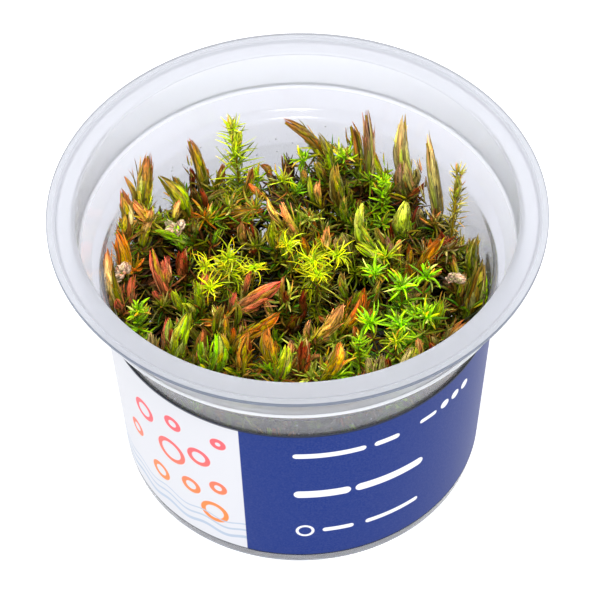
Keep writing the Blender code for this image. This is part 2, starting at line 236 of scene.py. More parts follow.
# Small side shoots: how far from a shoot's neck and how far over it they end, in millimetres. A neck
# below the level counts as if it were there.
SPRIG_REACH = (2.0, 5.0)
SPRIG_RISE = (-6.0, 1.5)
SPRIG_LEVEL = 41 * MM

# How the open leaves of a shoot grow: length as a share of the shoot's width, width, curl, sway,
# leaves in a whorl, and closed tufts at its top.
Habit = namedtuple("Habit", "length width curl sway leaves tufts")
HABITS = {
    "plain": Habit(0.60, 1.0, 0.4, 1.2, 9, 1),
    "lime": Habit(0.74, 0.75, 0.6, 1.2, 10, 4),
    "gold": Habit(0.58, 0.5, 3.2, 3.0, 16, 1),
    "vivid": Habit(0.50, 1.05, 0.7, 1.3, 10, 0),
    "straw": Habit(0.60, 0.6, 0.2, 0.4, 10, 1),
}

# Camera: where it looks, from how far and how high, and the slight lean of the photograph.
CAMERA_TARGET = Vector((0.16, 0, 40.04)) * MM
CAMERA_DISTANCE = 0.6
CAMERA_ELEVATION = math.radians(49.23)
CAMERA_ROLL = math.radians(1.23)
CAMERA_LENS = 174.6
CAMERA_SENSOR = 36.0
CAMERA_NEAREST = 0.01

# Studio: the large lamp over the front of the cup, and the floor just under its foot.
KEY_PLACE = Vector((0.0, -0.44, 0.82))
KEY_TARGET = Vector((0.0, 0.0, 0.04))
KEY_SIZE = 0.25
FLOOR_SIZE = 3.0
FLOOR_DROP = 0.2 * MM

# How much red, green and blue count in the grey of a colour.
GREY_SHARES = Vector((0.3, 0.6, 0.1))

# Leaf colours, near the stem and at the tip.
TINTS = {
    "umber": ((98, 108, 42), (136, 82, 58)),
    "olive": ((100, 124, 44), (128, 108, 62)),
    "russet": ((126, 124, 44), (170, 88, 58)),
    "peach": ((150, 150, 64), (214, 148, 112)),
    "lime": ((100, 124, 36), (168, 174, 82)),
    "dead": ((52, 40, 28), (72, 52, 38)),
    "husk": ((128, 112, 96), (178, 160, 144)),
    "green": ((86, 122, 32), (150, 180, 62)),
    "vivid": ((84, 126, 26), (142, 178, 60)),
    "maroon": ((88, 60, 34), (120, 46, 38)),
    "gold": ((118, 150, 32), (198, 194, 84)),
    "rose": ((146, 108, 70), (206, 104, 92)),
    "plum": ((106, 104, 60), (130, 90, 86)),
    "tan": ((110, 108, 60), (160, 142, 104)),
    "straw": ((98, 96, 44), (154, 142, 82)),
    "pale": ((124, 148, 56), (192, 196, 112)),
    "amber": ((128, 132, 48), (186, 118, 74)),
}

# Colours that single leaves draw from: old ones, odd ones in a head, young tips and dead ones.
OLD_LEAVES = ((86, 92, 32), (110, 84, 46), (74, 118, 36), (112, 62, 42), (124, 120, 52), (74, 46, 30))
ODD_LEAVES = ((124, 152, 46), (134, 58, 42), (212, 200, 146), (90, 58, 36), (94, 132, 36), (176, 104, 78))
YOUNG_TIPS = ((216, 150, 96), (204, 116, 80), (228, 214, 150), (190, 200, 110))
LITTER = ((52, 40, 24), (70, 52, 30), (58, 60, 26), (84, 50, 30), (40, 46, 22))

# Colours of a stem from foot to top, of the brown on the gel's top, and of the pale edges of leaves, partly
# their own and partly a painted highlight.
STEM_TINTS = ((86, 78, 34), (112, 96, 44))
GEL_TOP_BROWN = (44, 38, 22)
LEAF_EDGE_HIGHLIGHT = (226, 216, 168)

# How far up a stem its whorls of dead leaves sit.
LITTER_SHARES = (0.35, 0.5, 0.63, 0.76)

# Dull leaves against the wall, on stems that end past a radius. At the back, where the wall over the
# carpet shows, they stay low.
WALL_LEAVES = 18
WALL_TINTS = ((74, 70, 54), (94, 88, 70), (86, 68, 54), (100, 102, 86), (76, 86, 58), (62, 54, 50))
# Painted shade that darkens them a little.
WALL_LEAF_PAINTED_SHADE = 0.8
WALL_SHOOT_RADIUS = 27 * MM
WALL_LEAF_TOP = 60 * MM
WALL_LEAF_TOP_AT_BACK = 33 * MM
BACK_START = -8 * MM

# Tints of the small side shoots, open and closed, up to each x in millimetres.
OPEN_SPRIG_TINTS = (
    (-10, ("olive", "umber", "green", "russet", "olive")),
    (13, ("green", "lime", "olive", "pale", "vivid", "green")),
    (50, ("olive", "tan", "green", "straw", "umber")),
)
CLOSED_SPRIG_TINTS = (
    (-10, ("umber", "russet", "maroon", "rose", "peach", "umber", "maroon", "green")),
    (13, ("green", "lime", "olive", "russet", "amber", "maroon", "peach", "umber")),
    (50, ("umber", "russet", "plum", "tan", "maroon", "umber", "peach", "olive")),
)

# Pale dead tufts, by the place of their plantlet in the list below, in millimetres.
HUSKS = {2: (-36, 4, 45), 4: (-25.5, 15, 46), 29: (31.5, -0.6, 47)}

# More small side shoots, by the place of their plantlet: where they end, their tint, open or not.
EXTRA_SPRIGS = {
    9: (((-11, 27, 44), "umber", False), ((-14, 22, 45), "olive", True)),
    10: (((-5.5, 31, 45), "umber", False), ((-8.5, 31, 43), "green", True)),
    17: (((-7, 24.5, 45), "russet", False), ((-9, 21, 45), "olive", True), ((-3, 28, 46), "lime", True)),
    20: (((-19, 2, 49), "gold", True), ((-9, 1, 49), "gold", True), ((-18, -3, 48), "gold", True)),
    30: (((8, 4, 49), "gold", True), ((-2, 7, 49), "gold", True), ((4, -1, 49), "gold", True)),
    39: (((15.5, -1, 49), "vivid", True), ((26, -2, 49), "vivid", True), ((18, 3.5, 49), "lime", True)),
    46: (((14, -15, 50), "vivid", True), ((25.5, -13, 49), "vivid", True), ((19, -20, 50), "lime", True)),
}

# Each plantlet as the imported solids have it, with a tint for each shoot. A shoot is its form, neck, tip,
# width and tint, in millimetres. The function shoot_place draws the outermost in from the wall.
SPEAR, BUSHY = "spear", "bushy"
PLANTLETS = [
    # Left and back left
    [
        (SPEAR, (-33, 19.5, 49), (-30.5, 24.5, 60), 3.2, "umber"),
        (SPEAR, (-30, 17, 44), (-34.3, 14.6, 56), 1.8, "peach"),
    ],
    [(SPEAR, (-23, 22, 42), (-28.5, 20.5, 56), 3.4, "olive")],
    [
        (SPEAR, (-36.4, 11.5, 48), (-35.8, 14, 60), 2.6, "umber"),
        (SPEAR, (-36.5, 6.5, 41), (-37.2, 8, 54), 3.0, "russet"),
    ],
    [
        (SPEAR, (-20.5, 32, 40), (-22.6, 31.4, 57), 2.4, "umber"),
        (SPEAR, (-24.5, 28.8, 40), (-26.4, 27.6, 49), 2.4, "olive"),
    ],
    [(SPEAR, (-22.6, 15.3, 41), (-29.7, 12, 49), 2.0, "green")],
    [
        (SPEAR, (-27, 2, 39), (-29.8, 3.6, 54), 2.2, "rose"),
        (SPEAR, (-23.8, 6.8, 39), (-23.4, 6, 50), 2.6, "maroon"),
    ],
    [
        (SPEAR, (-37.6, -2, 41), (-38.8, 0.5, 57), 2.8, "umber"),
        (SPEAR, (-34.6, 0.6, 38), (-33.8, -0.6, 50), 1.8, "rose"),
    ],
    [(BUSHY, (-33.2, -8.4, 33), (-32.6, -8.8, 49), 7.5, "green")],
    [(BUSHY, (-11.6, 30.4, 31), (-13.2, 31.2, 61), 8.5, "lime")],
    [(SPEAR, (-17, 23.4, 41), (-6.7, 20, 46), 2.2, "russet")],
    # Back
    [(SPEAR, (-1.2, 34, 37), (-2.6, 33.6, 49), 2.0, "dead")],
    [
        (SPEAR, (5.6, 34.2, 48), (-3, 32.6, 60), 2.4, "umber"),
        (SPEAR, (7.6, 32, 44), (4.8, 31.4, 57), 1.8, "olive"),
    ],
    [
        (SPEAR, (15.5, 33, 39), (14.7, 34.6, 61), 2.6, "plum"),
        (SPEAR, (13.2, 33.6, 42), (11.4, 34.6, 57), 1.8, "umber"),
    ],
    [
        (SPEAR, (25.2, 28.5, 41), (22.6, 32.6, 61), 3.2, "tan"),
        (SPEAR, (22.2, 28.6, 40), (22, 27.8, 52), 2.2, "plum"),
    ],
    [(SPEAR, (31, 22.1, 38), (26.8, 26.6, 61), 2.6, "tan")],
    [(BUSHY, (33.2, 15.4, 39), (33.4, 17.4, 60), 6.0, "straw")],
    [
        (BUSHY, (17.8, 24.6, 36), (18.2, 24.2, 50), 6.5, "green"),
        (SPEAR, (19.4, 28, 43), (16.4, 28.6, 54), 1.4, "olive"),
    ],
    [(SPEAR, (1.5, 23.6, 40), (-6, 25, 44), 2.0, "dead")],
    [(SPEAR, (9.4, 24.4, 40), (8.2, 26.4, 53), 3.0, "olive")],
    # Middle
    [
        (SPEAR, (-4.3, 12.3, 42), (-5.4, 10.6, 53), 2.6, "lime"),
        (SPEAR, (0.4, 15, 43), (-3.2, 16, 53), 1.6, "peach"),
    ],
    [(BUSHY, (-13.4, 6.4, 31), (-14.4, 4, 50), 12.0, "gold")],
    [(SPEAR, (-8.6, 17.4, 36), (-10, 17, 45), 2.6, "maroon")],
    [(SPEAR, (5.2, 14.4, 36), (4.2, 13.4, 45), 2.4, "russet")],
    [(SPEAR, (22, 16.2, 41), (22.6, 15, 53), 3.4, "pale")],
    [
        (SPEAR, (13.4, 14.5, 40), (13.7, 15.4, 53), 2.0, "pale"),
        (SPEAR, (11, 11.4, 38), (9.4, 10.8, 48), 1.6, "tan"),
    ],
    [
        (SPEAR, (18.3, 6.6, 42), (11.8, 5.6, 51), 2.2, "lime"),
        (SPEAR, (19.6, 10.4, 41), (16, 10.4, 51), 2.0, "olive"),
    ],
    [(SPEAR, (24.6, 6.8, 39), (29.4, 5.2, 53), 2.6, "russet")],
    [(SPEAR, (28, 11.6, 39), (33.4, 12.6, 44), 2.6, "maroon")],
    [(SPEAR, (36.4, 8, 38), (36.8, 7, 51), 2.4, "olive")],
    [(SPEAR, (34.8, -0.4, 33), (37, -1, 52), 3.6, "olive")],
    [(BUSHY, (2.4, 5.2, 30), (3, 3, 50), 11.5, "gold")],
    [(SPEAR, (-13, -3.6, 41), (-3.4, -4.6, 51), 3.2, "rose")],
    [(SPEAR, (-2.6, -4.4, 34), (-0.4, -6.6, 43), 2.8, "maroon")],
    [
        (SPEAR, (-12.6, -11.2, 41), (-3.5, -11.6, 50), 2.6, "russet"),
        (SPEAR, (-13.8, -14.4, 40), (-9.6, -15.4, 49), 1.6, "amber"),
    ],
    [(SPEAR, (-17.2, -9, 40), (-15.4, -9.4, 50), 1.8, "olive")],
    [(SPEAR, (-20.4, -2.6, 40), (-21, -3.4, 51), 1.8, "lime")],
    [(SPEAR, (2.8, -12.8, 42), (8.8, -14.6, 56), 2.8, "peach")],
    [(SPEAR, (9.2, -9.4, 41), (13.2, -10.2, 55), 2.6, "russet")],
    [(SPEAR, (11, -2.4, 39), (13.4, -4.2, 48), 2.0, "olive")],
    [(BUSHY, (21.4, -1.8, 31), (20.8, -3.8, 49), 11.0, "vivid")],
    # Front, as far as the rim hides
    [
        (SPEAR, (-25.1, -18, 43), (-21.6, -19.4, 60), 3.2, "lime"),
        (SPEAR, (-21.2, -17.4, 40), (-19.6, -15.6, 50), 2.6, "umber"),
        (SPEAR, (-29, -15.8, 41), (-29.8, -17, 51), 2.2, "tan"),
    ],
    [(SPEAR, (-17.4, -21, 43), (-15.8, -22.4, 57), 3.2, "green")],
    [(SPEAR, (-11.8, -21.4, 43), (-10.4, -23, 57), 2.2, "amber")],
    [
        (SPEAR, (-5.2, -20.2, 43), (-6.4, -21.8, 58), 2.8, "amber"),
        (SPEAR, (-4.4, -25, 44), (-2.4, -26.4, 57), 2.6, "lime"),
    ],
    [
        (SPEAR, (4.8, -24.4, 44), (8, -26.4, 58), 3.0, "amber"),
        (SPEAR, (0.4, -21.6, 43), (1.2, -23, 55), 2.8, "maroon"),
    ],
    [(BUSHY, (12.2, -17.4, 35), (11.8, -19.4, 50), 6.5, "green")],
    [(BUSHY, (20.2, -14, 33), (20, -15.8, 51), 10.5, "vivid")],
    [(SPEAR, (15.6, -24.8, 43), (16, -26.4, 54), 2.4, "tan")],
    [
        (SPEAR, (26.6, -9.2, 40), (29, -9.6, 51), 2.6, "green"),
        (SPEAR, (29.8, -13, 38), (33.8, -13.8, 49), 3.0, "umber"),
    ],
    # Front, behind the rim
    [
        (SPEAR, (-30.6, -22.8, 41), (-31.6, -24.4, 52), 2.6, "umber"),
        (SPEAR, (-26.2, -24.6, 39), (-25.6, -26, 49), 2.4, "olive"),
    ],
    [
        (SPEAR, (-20.4, -30.6, 41), (-21.4, -32.6, 53), 3.0, "green"),
        (SPEAR, (-16.8, -27.4, 38), (-15.6, -28.2, 48), 2.0, "russet"),
    ],
    [(BUSHY, (-10.8, -32.2, 34), (-11, -33, 50), 7.0, "lime")],
    [
        (SPEAR, (-2.4, -34.4, 41), (-3, -36.2, 53), 2.8, "olive"),
        (SPEAR, (1.2, -30.6, 38), (2, -31.4, 49), 2.2, "amber"),
    ],
    [
        (SPEAR, (8.4, -34, 40), (9.4, -36, 52), 3.0, "umber"),
        (SPEAR, (10.8, -30, 38), (11.6, -30.6, 48), 2.0, "green"),
    ],
    [(BUSHY, (18.6, -30.2, 34), (18.8, -31.2, 50), 6.5, "green")],
    [
        (SPEAR, (26.6, -25.6, 41), (28, -27.2, 52), 2.8, "russet"),
        (SPEAR, (23.4, -20.8, 39), (23, -21.6, 50), 2.4, "lime"),
    ],
    [(SPEAR, (33.6, -17.4, 39), (34.8, -17.8, 50), 2.6, "olive")],
]


class RotalaCupSettings(bpy.types.PropertyGroup):
    """Sizes and colours of the cup, its label and its gel."""

    steps: bpy.props.IntProperty(
        name="Cup steps", description="Flats round the turned plastic", default=192, min=48, max=256
    )
    plastic_colour: bpy.props.FloatVectorProperty(
        name="Plastic", description="Tint over all of the cup's plastic", subtype="COLOR", size=3,
        default=(1, 1, 1), min=0, max=1,
    )
    label_blue: bpy.props.FloatVectorProperty(
        name="Label ground", description="Colour of the label's printed side", subtype="COLOR", size=3,
        default=(0.0, 0.022, 0.185), min=0, max=1,
    )
    label_white: bpy.props.FloatVectorProperty(
        name="Label paper", description="Colour of the label's bare side", subtype="COLOR", size=3,
        default=(0.64, 0.65, 0.69), min=0, max=1,
    )
    gel_colour: bpy.props.FloatVectorProperty(
        name="Gel", description="Colour of the cloudy gel", subtype="COLOR", size=3,
        default=(0.70, 0.70, 0.62), min=0, max=1,
    )
    drop_radius: bpy.props.FloatProperty(
        name="Drop radius", description="Largest drop of condensation on the wall", unit="LENGTH",
        default=0.26 * MM, min=0.05 * MM, max=1 * MM,
    )
    drop_density: bpy.props.FloatProperty(
        name="Drops per square metre", description="How thickly the drops sit", default=300000, min=0
    )


class RotalaLeafSettings(bpy.types.PropertyGroup):
    """Sizes of the leaves and stems."""

    needle_length: bpy.props.FloatProperty(
        name="Needle length", description="Length of an old leaf", unit="LENGTH",
        default=5.2 * MM, min=1 * MM, max=10 * MM,
    )
    needle_width: bpy.props.FloatProperty(
        name="Needle width", description="Width of an open leaf", unit="LENGTH",
        default=0.62 * MM, min=0.2 * MM, max=2 * MM,
    )
    whorl_spacing: bpy.props.FloatProperty(
        name="Whorl spacing", description="Way from one whorl of leaves to the next", unit="LENGTH",
        default=2.3 * MM, min=1 * MM, max=6 * MM,
    )
    leaves_per_whorl: bpy.props.IntProperty(
        name="Leaves per whorl", description="Open leaves in one whorl", default=8, min=4, max=14
    )
    brightness: bpy.props.FloatProperty(
        name="Brightness", description="Lightens or darkens every leaf", default=2.0, min=0.1, max=3
    )
    saturation: bpy.props.FloatProperty(
        name="Saturation", description="Strength of the leaf colours", default=1.25, min=0, max=2
    )
    seed: bpy.props.IntProperty(
        name="Seed", description="Start of the random draws", default=7, min=0
    )


class RotalaStageSettings(bpy.types.PropertyGroup):
    """Light and floor of the studio."""

    floor_colour: bpy.props.FloatVectorProperty(
        name="Floor", description="Colour of the floor", subtype="COLOR", size=3,
        default=(0.93, 0.93, 0.94), min=0, max=1,
    )
    floor_glow: bpy.props.FloatProperty(
        name="Floor glow", description="Light of the white table under the cup", default=0.5, min=0
    )
    world_strength: bpy.props.FloatProperty(
        name="World light", description="Strength of the even light", default=0.85, min=0
    )
    key_power: bpy.props.FloatProperty(
        name="Key light", description="Power of the large lamp", unit="POWER", default=3.4, min=0
    )


def linear(colour):
    """An 0 to 255 screen colour as linear RGB."""
    shares = [value / 255 for value in colour]
    return Vector([s / 12.92 if s <= 0.04045 else ((s + 0.055) / 1.055) ** 2.4 for s in shares])


def saturated(colour, amount):
    """A linear colour moved away from its grey, and held above zero."""
    grey = colour.dot(GREY_SHARES)
    return Vector([max(0.0, grey + (channel - grey) * amount) for channel in colour])


def add_node(tree, kind, inputs=None, **settings):
    """Adds a node, with its settings and with values or links on its inputs."""
    made = tree.nodes.new(kind)
    for name, value in settings.items():
        setattr(made, name, value)
    for key, value in (inputs or {}).items():
        if isinstance(value, bpy.types.NodeSocket):
            tree.links.new(value, made.inputs[key])
        else:
            made.inputs[key].default_value = value
    return made


def maths(tree, operation, first, second=0.0, third=0.0):
    """The result of a Math node."""
    return add_node(tree, "ShaderNodeMath", {0: first, 1: second, 2: third}, operation=operation).outputs[0]


def combined(tree, x, y, z):
    """A vector from its three parts."""
    return add_node(tree, "ShaderNodeCombineXYZ", {"X": x, "Y": y, "Z": z}).outputs[0]


def parts_of(tree, vector):
    """The X, Y and Z of a vector."""
    return add_node(tree, "ShaderNodeSeparateXYZ", {0: vector}).outputs


def ramp(tree, value, low, high, out_low=0.0, out_high=1.0):
    """Maps low to high onto an output range, held at both ends."""
    inputs = {"Value": value, "From Min": low, "From Max": high, "To Min": out_low, "To Max": out_high}
    return add_node(tree, "ShaderNodeMapRange", inputs, interpolation_type="SMOOTHSTEP").outputs[0]


def mix_colours(tree, factor, first, second, blend="MIX"):
    """A colour between two, each a socket or plain RGB."""
    made = add_node(tree, "ShaderNodeMix", {0: factor}, data_type="RGBA", blend_type=blend)
    for index, colour in ((6, first), (7, second)):
        if isinstance(colour, bpy.types.NodeSocket):
            tree.links.new(colour, made.inputs[index])
        else:
            made.inputs[index].default_value = (*colour, 1.0)
    return made.outputs[2]


def new_material(name, **values):
    """A material with a Principled shader whose plain values sit on its own sockets."""
    material = bpy.data.materials.new(name)
    material.use_nodes = True
    shader = material.node_tree.nodes["Principled BSDF"]
    for socket, value in values.items():
        shader.inputs[socket.replace("_", " ")].default_value = value
    return material, material.node_tree, shader


def link(tree, output, shader, socket):
    """Lets a node's output drive one of the shader's sockets."""
    tree.links.new(output, shader.inputs[socket])


def bump(tree, shader, height, distance, strength):
    """Roughens the shader's surface by a height."""
    inputs = {"Height": height, "Distance": distance, "Strength": strength}
    link(tree, add_node(tree, "ShaderNodeBump", inputs).outputs[0], shader, "Normal")


def position(tree):
    """Where a point of the surface is in its piece."""
    return add_node(tree, "ShaderNodeTexCoord").outputs["Object"]


def noise(tree, place, scale, detail=2.0):
    """A soft random pattern over a place, from 0 to 1."""
    inputs = {"Vector": place, "Scale": scale, "Detail": detail}
    return add_node(tree, "ShaderNodeTexNoise", inputs).outputs[0]


def mesh_piece(name, mesh, slot, *nodes):
    """Links a finished mesh as a piece that stands for its CAD nodes."""
    piece = bpy.data.objects.new(name, mesh)
    bpy.context.scene.collection.objects.link(piece)
    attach(piece, "root")
    if nodes:
        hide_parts(*nodes)
    return piece


def baked_mesh(obj):
    """The evaluated shape of a working object, which is then removed."""
    bpy.context.view_layer.update()
    graph = bpy.context.evaluated_depsgraph_get()
    mesh = bpy.data.meshes.new_from_object(obj.evaluated_get(graph), depsgraph=graph)
    source = obj.data
    bpy.data.objects.remove(obj)
    bpy.data.meshes.remove(source)
    return mesh


def mesh_from(bm, name):
    """What a bmesh holds, as a plain mesh. The bmesh is freed."""
    mesh = bpy.data.meshes.new(name)
    bm.to_mesh(mesh)
    bm.free()
    return mesh


def working_object(name, mesh):
    """An object in the scene for modifiers to work on."""
    obj = bpy.data.objects.new(name, mesh)
    bpy.context.scene.collection.objects.link(obj)
    return obj


def softened(corners):
    """Rounds a profile's corners, each a point and a reach: how far it is cut back for a curve."""
    points = [Vector(point) for point, _ in corners]
    reaches = [reach for _, reach in corners]
    result = [points[0]]
    for before, corner, after, reach in zip(points, points[1:], points[2:], reaches[1:]):
        if not reach:
            result.append(corner)
            continue
        start = corner + (before - corner).normalized() * reach
        end = corner + (after - corner).normalized() * reach
        for i in range(ROUNDING_STEPS + 1):
            t = i / ROUNDING_STEPS
            result.append(start * (1 - t) ** 2 + corner * (2 * t * (1 - t)) + end * t ** 2)
    result.append(points[-1])
    return result


def turned_mesh(name, profile, steps):
    """Turns a profile by Screw: (radius, height) points from the axis, over the top, back to it below."""
    bm = bmesh.new()
    verts = [bm.verts.new((point[0], 0, point[1])) for point in profile]
    for first, second in zip(verts, verts[1:]):
        bm.edges.new((first, second))
    obj = working_object(name, mesh_from(bm, name))
    screw = obj.modifiers.new("Turn", "SCREW")
    screw.steps = screw.render_steps = steps
    screw.use_merge_vertices = True
    screw.merge_threshold = MERGE
    result = baked_mesh(obj)
    result.shade_smooth()
    result.set_sharp_from_angle(angle=SHARP_ANGLE)
    return result


def body_radius(height):
    """Outer radius of the cup's tapered body at a height."""
    share = (height - FOOT_ROUNDING) / (BODY_HEIGHT - FOOT_ROUNDING)
    return BODY_FOOT_RADIUS + (BODY_TOP_RADIUS - BODY_FOOT_RADIUS) * share


def inner_radius(height):
    """Radius inside the wall at a height: the body's, then the ledge's, then the neck's."""
    if height < BODY_HEIGHT:
        return body_radius(height) - WALL
    share = min((height - BODY_HEIGHT) / (NECK_FOOT_HEIGHT + WALL - BODY_HEIGHT), 1)
    return BODY_TOP_RADIUS - WALL + (NECK_FOOT_RADIUS - BODY_TOP_RADIUS) * share


def cup_profile():
    """The outline of the cup's wall. Each corner is (radius, height), with how far its rounding reaches."""
    under_rim = CUP_HEIGHT - RIM_THICK
    flange_top = CUP_HEIGHT - LIP_RISE
    floor_top = FLOOR_RISE + FLOOR_THICK
    ring_inner = BODY_FOOT_RADIUS - FOOT_ROUNDING - FOOT_RING_WIDTH
    inner_foot = body_radius(floor_top + WALL) - WALL
    return softened([
        ((0, floor_top), 0),
        ((inner_foot, floor_top), 1.2 * MM),
        ((body_radius(LABEL_HIGH) - WALL, LABEL_HIGH), 0),
        ((BODY_TOP_RADIUS - WALL, BODY_HEIGHT + WALL), 0.8 * MM),
        ((LEDGE_RADIUS - 0.5 * WALL, LEDGE_HEIGHT + WALL), 0.6 * MM),
        ((NECK_FOOT_RADIUS - WALL, NECK_FOOT_HEIGHT + WALL), 0.8 * MM),
        ((RIM_INNER_RADIUS, flange_top), 0.45 * MM),
        ((RIM_RADIUS - LIP_WIDTH, flange_top), 0.2 * MM),
        ((RIM_RADIUS - LIP_WIDTH + LIP_RISE, CUP_HEIGHT), 0.2 * MM),
        ((RIM_RADIUS, CUP_HEIGHT), 0.1 * MM),
        ((RIM_RADIUS, CUP_HEIGHT - LIP_THICK), 0.15 * MM),
        ((RIM_RADIUS - LIP_WIDTH, CUP_HEIGHT - LIP_THICK), 0.2 * MM),
        ((RIM_RADIUS - LIP_WIDTH - LIP_RISE, under_rim), 0.2 * MM),
        ((RIM_INNER_RADIUS + WALL, under_rim), 0.5 * MM),
        ((NECK_FOOT_RADIUS + BEAD_ROOT, NECK_FOOT_HEIGHT + 2 * BEAD_HEIGHT), 0.1 * MM),
        ((NECK_FOOT_RADIUS + BEAD_SIZE, NECK_FOOT_HEIGHT + BEAD_HEIGHT), 0.2 * MM),
        ((NECK_FOOT_RADIUS, NECK_FOOT_HEIGHT), 0.3 * MM),
        ((LEDGE_RADIUS, LEDGE_HEIGHT), 0.6 * MM),
        ((BODY_TOP_RADIUS, BODY_HEIGHT), 0.6 * MM),
        ((body_radius(LABEL_HIGH), LABEL_HIGH), 0),
        ((BODY_FOOT_RADIUS, 0), 0.8 * MM),
        ((ring_inner + FLOOR_RISE, 0), 0.2 * MM),
        ((ring_inner, FLOOR_RISE), 0.2 * MM),
        ((0, FLOOR_RISE), 0),
    ])


def plastic_material(name, colour, clearness, haze):
    """Faintly milky plastic, with the slight ripple of a moulded wall."""
    material, tree, shader = new_material(
        name,
        Base_Color=(*colour, 1.0),
        Roughness=haze,
        IOR=1.4,
        Transmission_Weight=clearness,
    )
    bump(tree, shader, noise(tree, position(tree), 90.0, 3.0), 0.0001, 0.4)
    return material


def plastic_at(radius, height):
    """Which of PLASTICS shows at a place on the cup."""
    above_bead = height - NECK_FOOT_HEIGHT
    if height < LABEL_LOW and radius > BODY_FOOT_RADIUS - 2 * FOOT_ROUNDING:
        return FOOT
    if radius > NECK_FOOT_RADIUS and 0 < above_bead < 2 * BEAD_HEIGHT:
        return BEAD_HIGHLIGHT
    if above_bead < 0:
        return LEDGE if height > LABEL_HIGH else BODY
    if height < CUP_HEIGHT - RIM_THICK or radius < RIM_INNER_RADIUS:
        return NECK
    if radius > RIM_RADIUS - LIP_SIDE_BAND:
        return LIP_SIDE_SHADE
    return LIP_HIGHLIGHT if radius > RIM_RADIUS - LIP_TOP_BAND else FLANGE


class ROTALA_OT_cup(bpy.types.Operator):
    """Builds the clear moulded cup"""

    bl_idname = "rotala.cup"
    bl_label = "Cup"

    def execute(self, context):
        settings = context.scene.rotala_cup
        mesh = turned_mesh("cup_wall", cup_profile(), settings.steps)
        for name, colour, clearness, haze in PLASTICS:
            tinted = [channel * tint for channel, tint in zip(colour, settings.plastic_colour)]
            mesh.materials.append(plastic_material(name, tinted, clearness, haze))
        for face in mesh.polygons:
            face.material_index = plastic_at(face.center.xy.length, face.center.z)
        mesh_piece("clear_cup", mesh, "cup_plastic", "cup")
        return {"FINISHED"}


def wall_columns(bm, angles, heights, off_wall):
    """Upright columns of points that follow the outside of the body, this far off it."""
    columns = []
    for angle in angles:
        column = []
        for height in heights:
            radius = body_radius(height) + off_wall
            column.append(bm.verts.new((radius * math.cos(angle), radius * math.sin(angle), height)))
        columns.append(column)
    return columns


def wet_wall_mesh():
    """The part of the wall's inner face that is wet, facing the cup's middle."""
    bm = bmesh.new()
    angles = [math.tau * step / DROPS_STEPS for step in range(DROPS_STEPS)]
    columns = wall_columns(bm, angles, (DROPS_LOW, DROPS_HIGH), -WALL)
    for near, far in zip(columns, columns[1:] + columns[:1]):
        bm.faces.new((near[0], near[1], far[1], far[0]))
    return mesh_from(bm, "wet_wall")


def new_geometry_tree(name, sizes):
    """An empty Geometry Nodes tree with a geometry socket and named sizes."""
    tree = bpy.data.node_groups.new(name, "GeometryNodeTree")
    tree.interface.new_socket("Geometry", in_out="INPUT", socket_type="NodeSocketGeometry")
    for size, kind in sizes.items():
        tree.interface.new_socket(size, in_out="INPUT", socket_type=kind)
    tree.interface.new_socket("Geometry", in_out="OUTPUT", socket_type="NodeSocketGeometry")
    return tree, tree.nodes.new("NodeGroupInput").outputs


def close_geometry_tree(tree, geometry, material):
    """Ends a tree in Realize Instances, smooth shading and its material."""
    real = add_node(tree, "GeometryNodeRealizeInstances", {"Geometry": geometry}).outputs[0]
    smooth = add_node(tree, "GeometryNodeSetShadeSmooth", {"Geometry": real}).outputs[0]
    made = add_node(tree, "GeometryNodeSetMaterial", {"Geometry": smooth, "Material": material})
    add_node(tree, "NodeGroupOutput", {"Geometry": made.outputs[0]})


def grown_mesh(name, mesh, tree, values):
    """Runs a Geometry Nodes tree on a mesh, with its named inputs set, and returns the plain result."""
    obj = working_object(name, mesh)
    modifier = obj.modifiers.new("Nodes", "NODES")
    modifier.node_group = tree
    for item in tree.interface.items_tree:
        if item.in_out == "INPUT" and item.name in values:
            modifier[item.identifier] = values[item.name]
    result = baked_mesh(obj)
    result.name = name
    return result


def drops_tree(material):
    """Beads of water scattered over a wall, each a flattened ball set into it."""
    sizes = {"Radius": "NodeSocketFloat", "Density": "NodeSocketFloat", "Seed": "NodeSocketInt"}
    tree, given = new_geometry_tree("Drops on the wall", sizes)
    points = add_node(
        tree,
        "GeometryNodeDistributePointsOnFaces",
        {"Mesh": given["Geometry"], "Density": given["Density"], "Seed": given["Seed"]},
    )
    bead = add_node(tree, "GeometryNodeMeshIcoSphere", {"Radius": given["Radius"], "Subdivisions": 1})
    share = add_node(
        tree, "FunctionNodeRandomValue", {2: 0.0, 3: 1.0, "Seed": given["Seed"]}, data_type="FLOAT"
    ).outputs[1]
    size = maths(tree, "MULTIPLY_ADD", maths(tree, "POWER", share, 4.0), 0.8, 0.2)
    scale = combined(tree, size, size, maths(tree, "MULTIPLY", size, 0.35))
    beads = add_node(
        tree,
        "GeometryNodeInstanceOnPoints",
        {
            "Points": points.outputs["Points"],
            "Instance": bead.outputs["Mesh"],
            "Rotation": points.outputs["Rotation"],
            "Scale": scale,
        },
    )
    close_geometry_tree(tree, beads.outputs[0], material)
    return tree


def water_material():
    """Water in fine drops, which looks whiter than a sheet of it."""
    material, tree, shader = new_material(
        "condensed_water",
        Base_Color=(0.95, 0.96, 1.0, 1.0),
        Roughness=0.06,
        IOR=1.33,
        Transmission_Weight=0.35,
    )
    bump(tree, shader, noise(tree, position(tree), 900.0), 0.00002, 0.3)
    return material


class ROTALA_OT_drops(bpy.types.Operator):
    """Scatters condensation over the inside of the wall"""

    bl_idname = "rotala.drops"
    bl_label = "Condensation"

    def execute(self, context):
        settings = context.scene.rotala_cup
        values = {"Radius": settings.drop_radius, "Density": settings.drop_density, "Seed": DROPS_SEED}
        mesh = grown_mesh("wall_drops", wet_wall_mesh(), drops_tree(water_material()), values)
        mesh_piece("condensation", mesh, "cup_plastic")
        return {"FINISHED"}


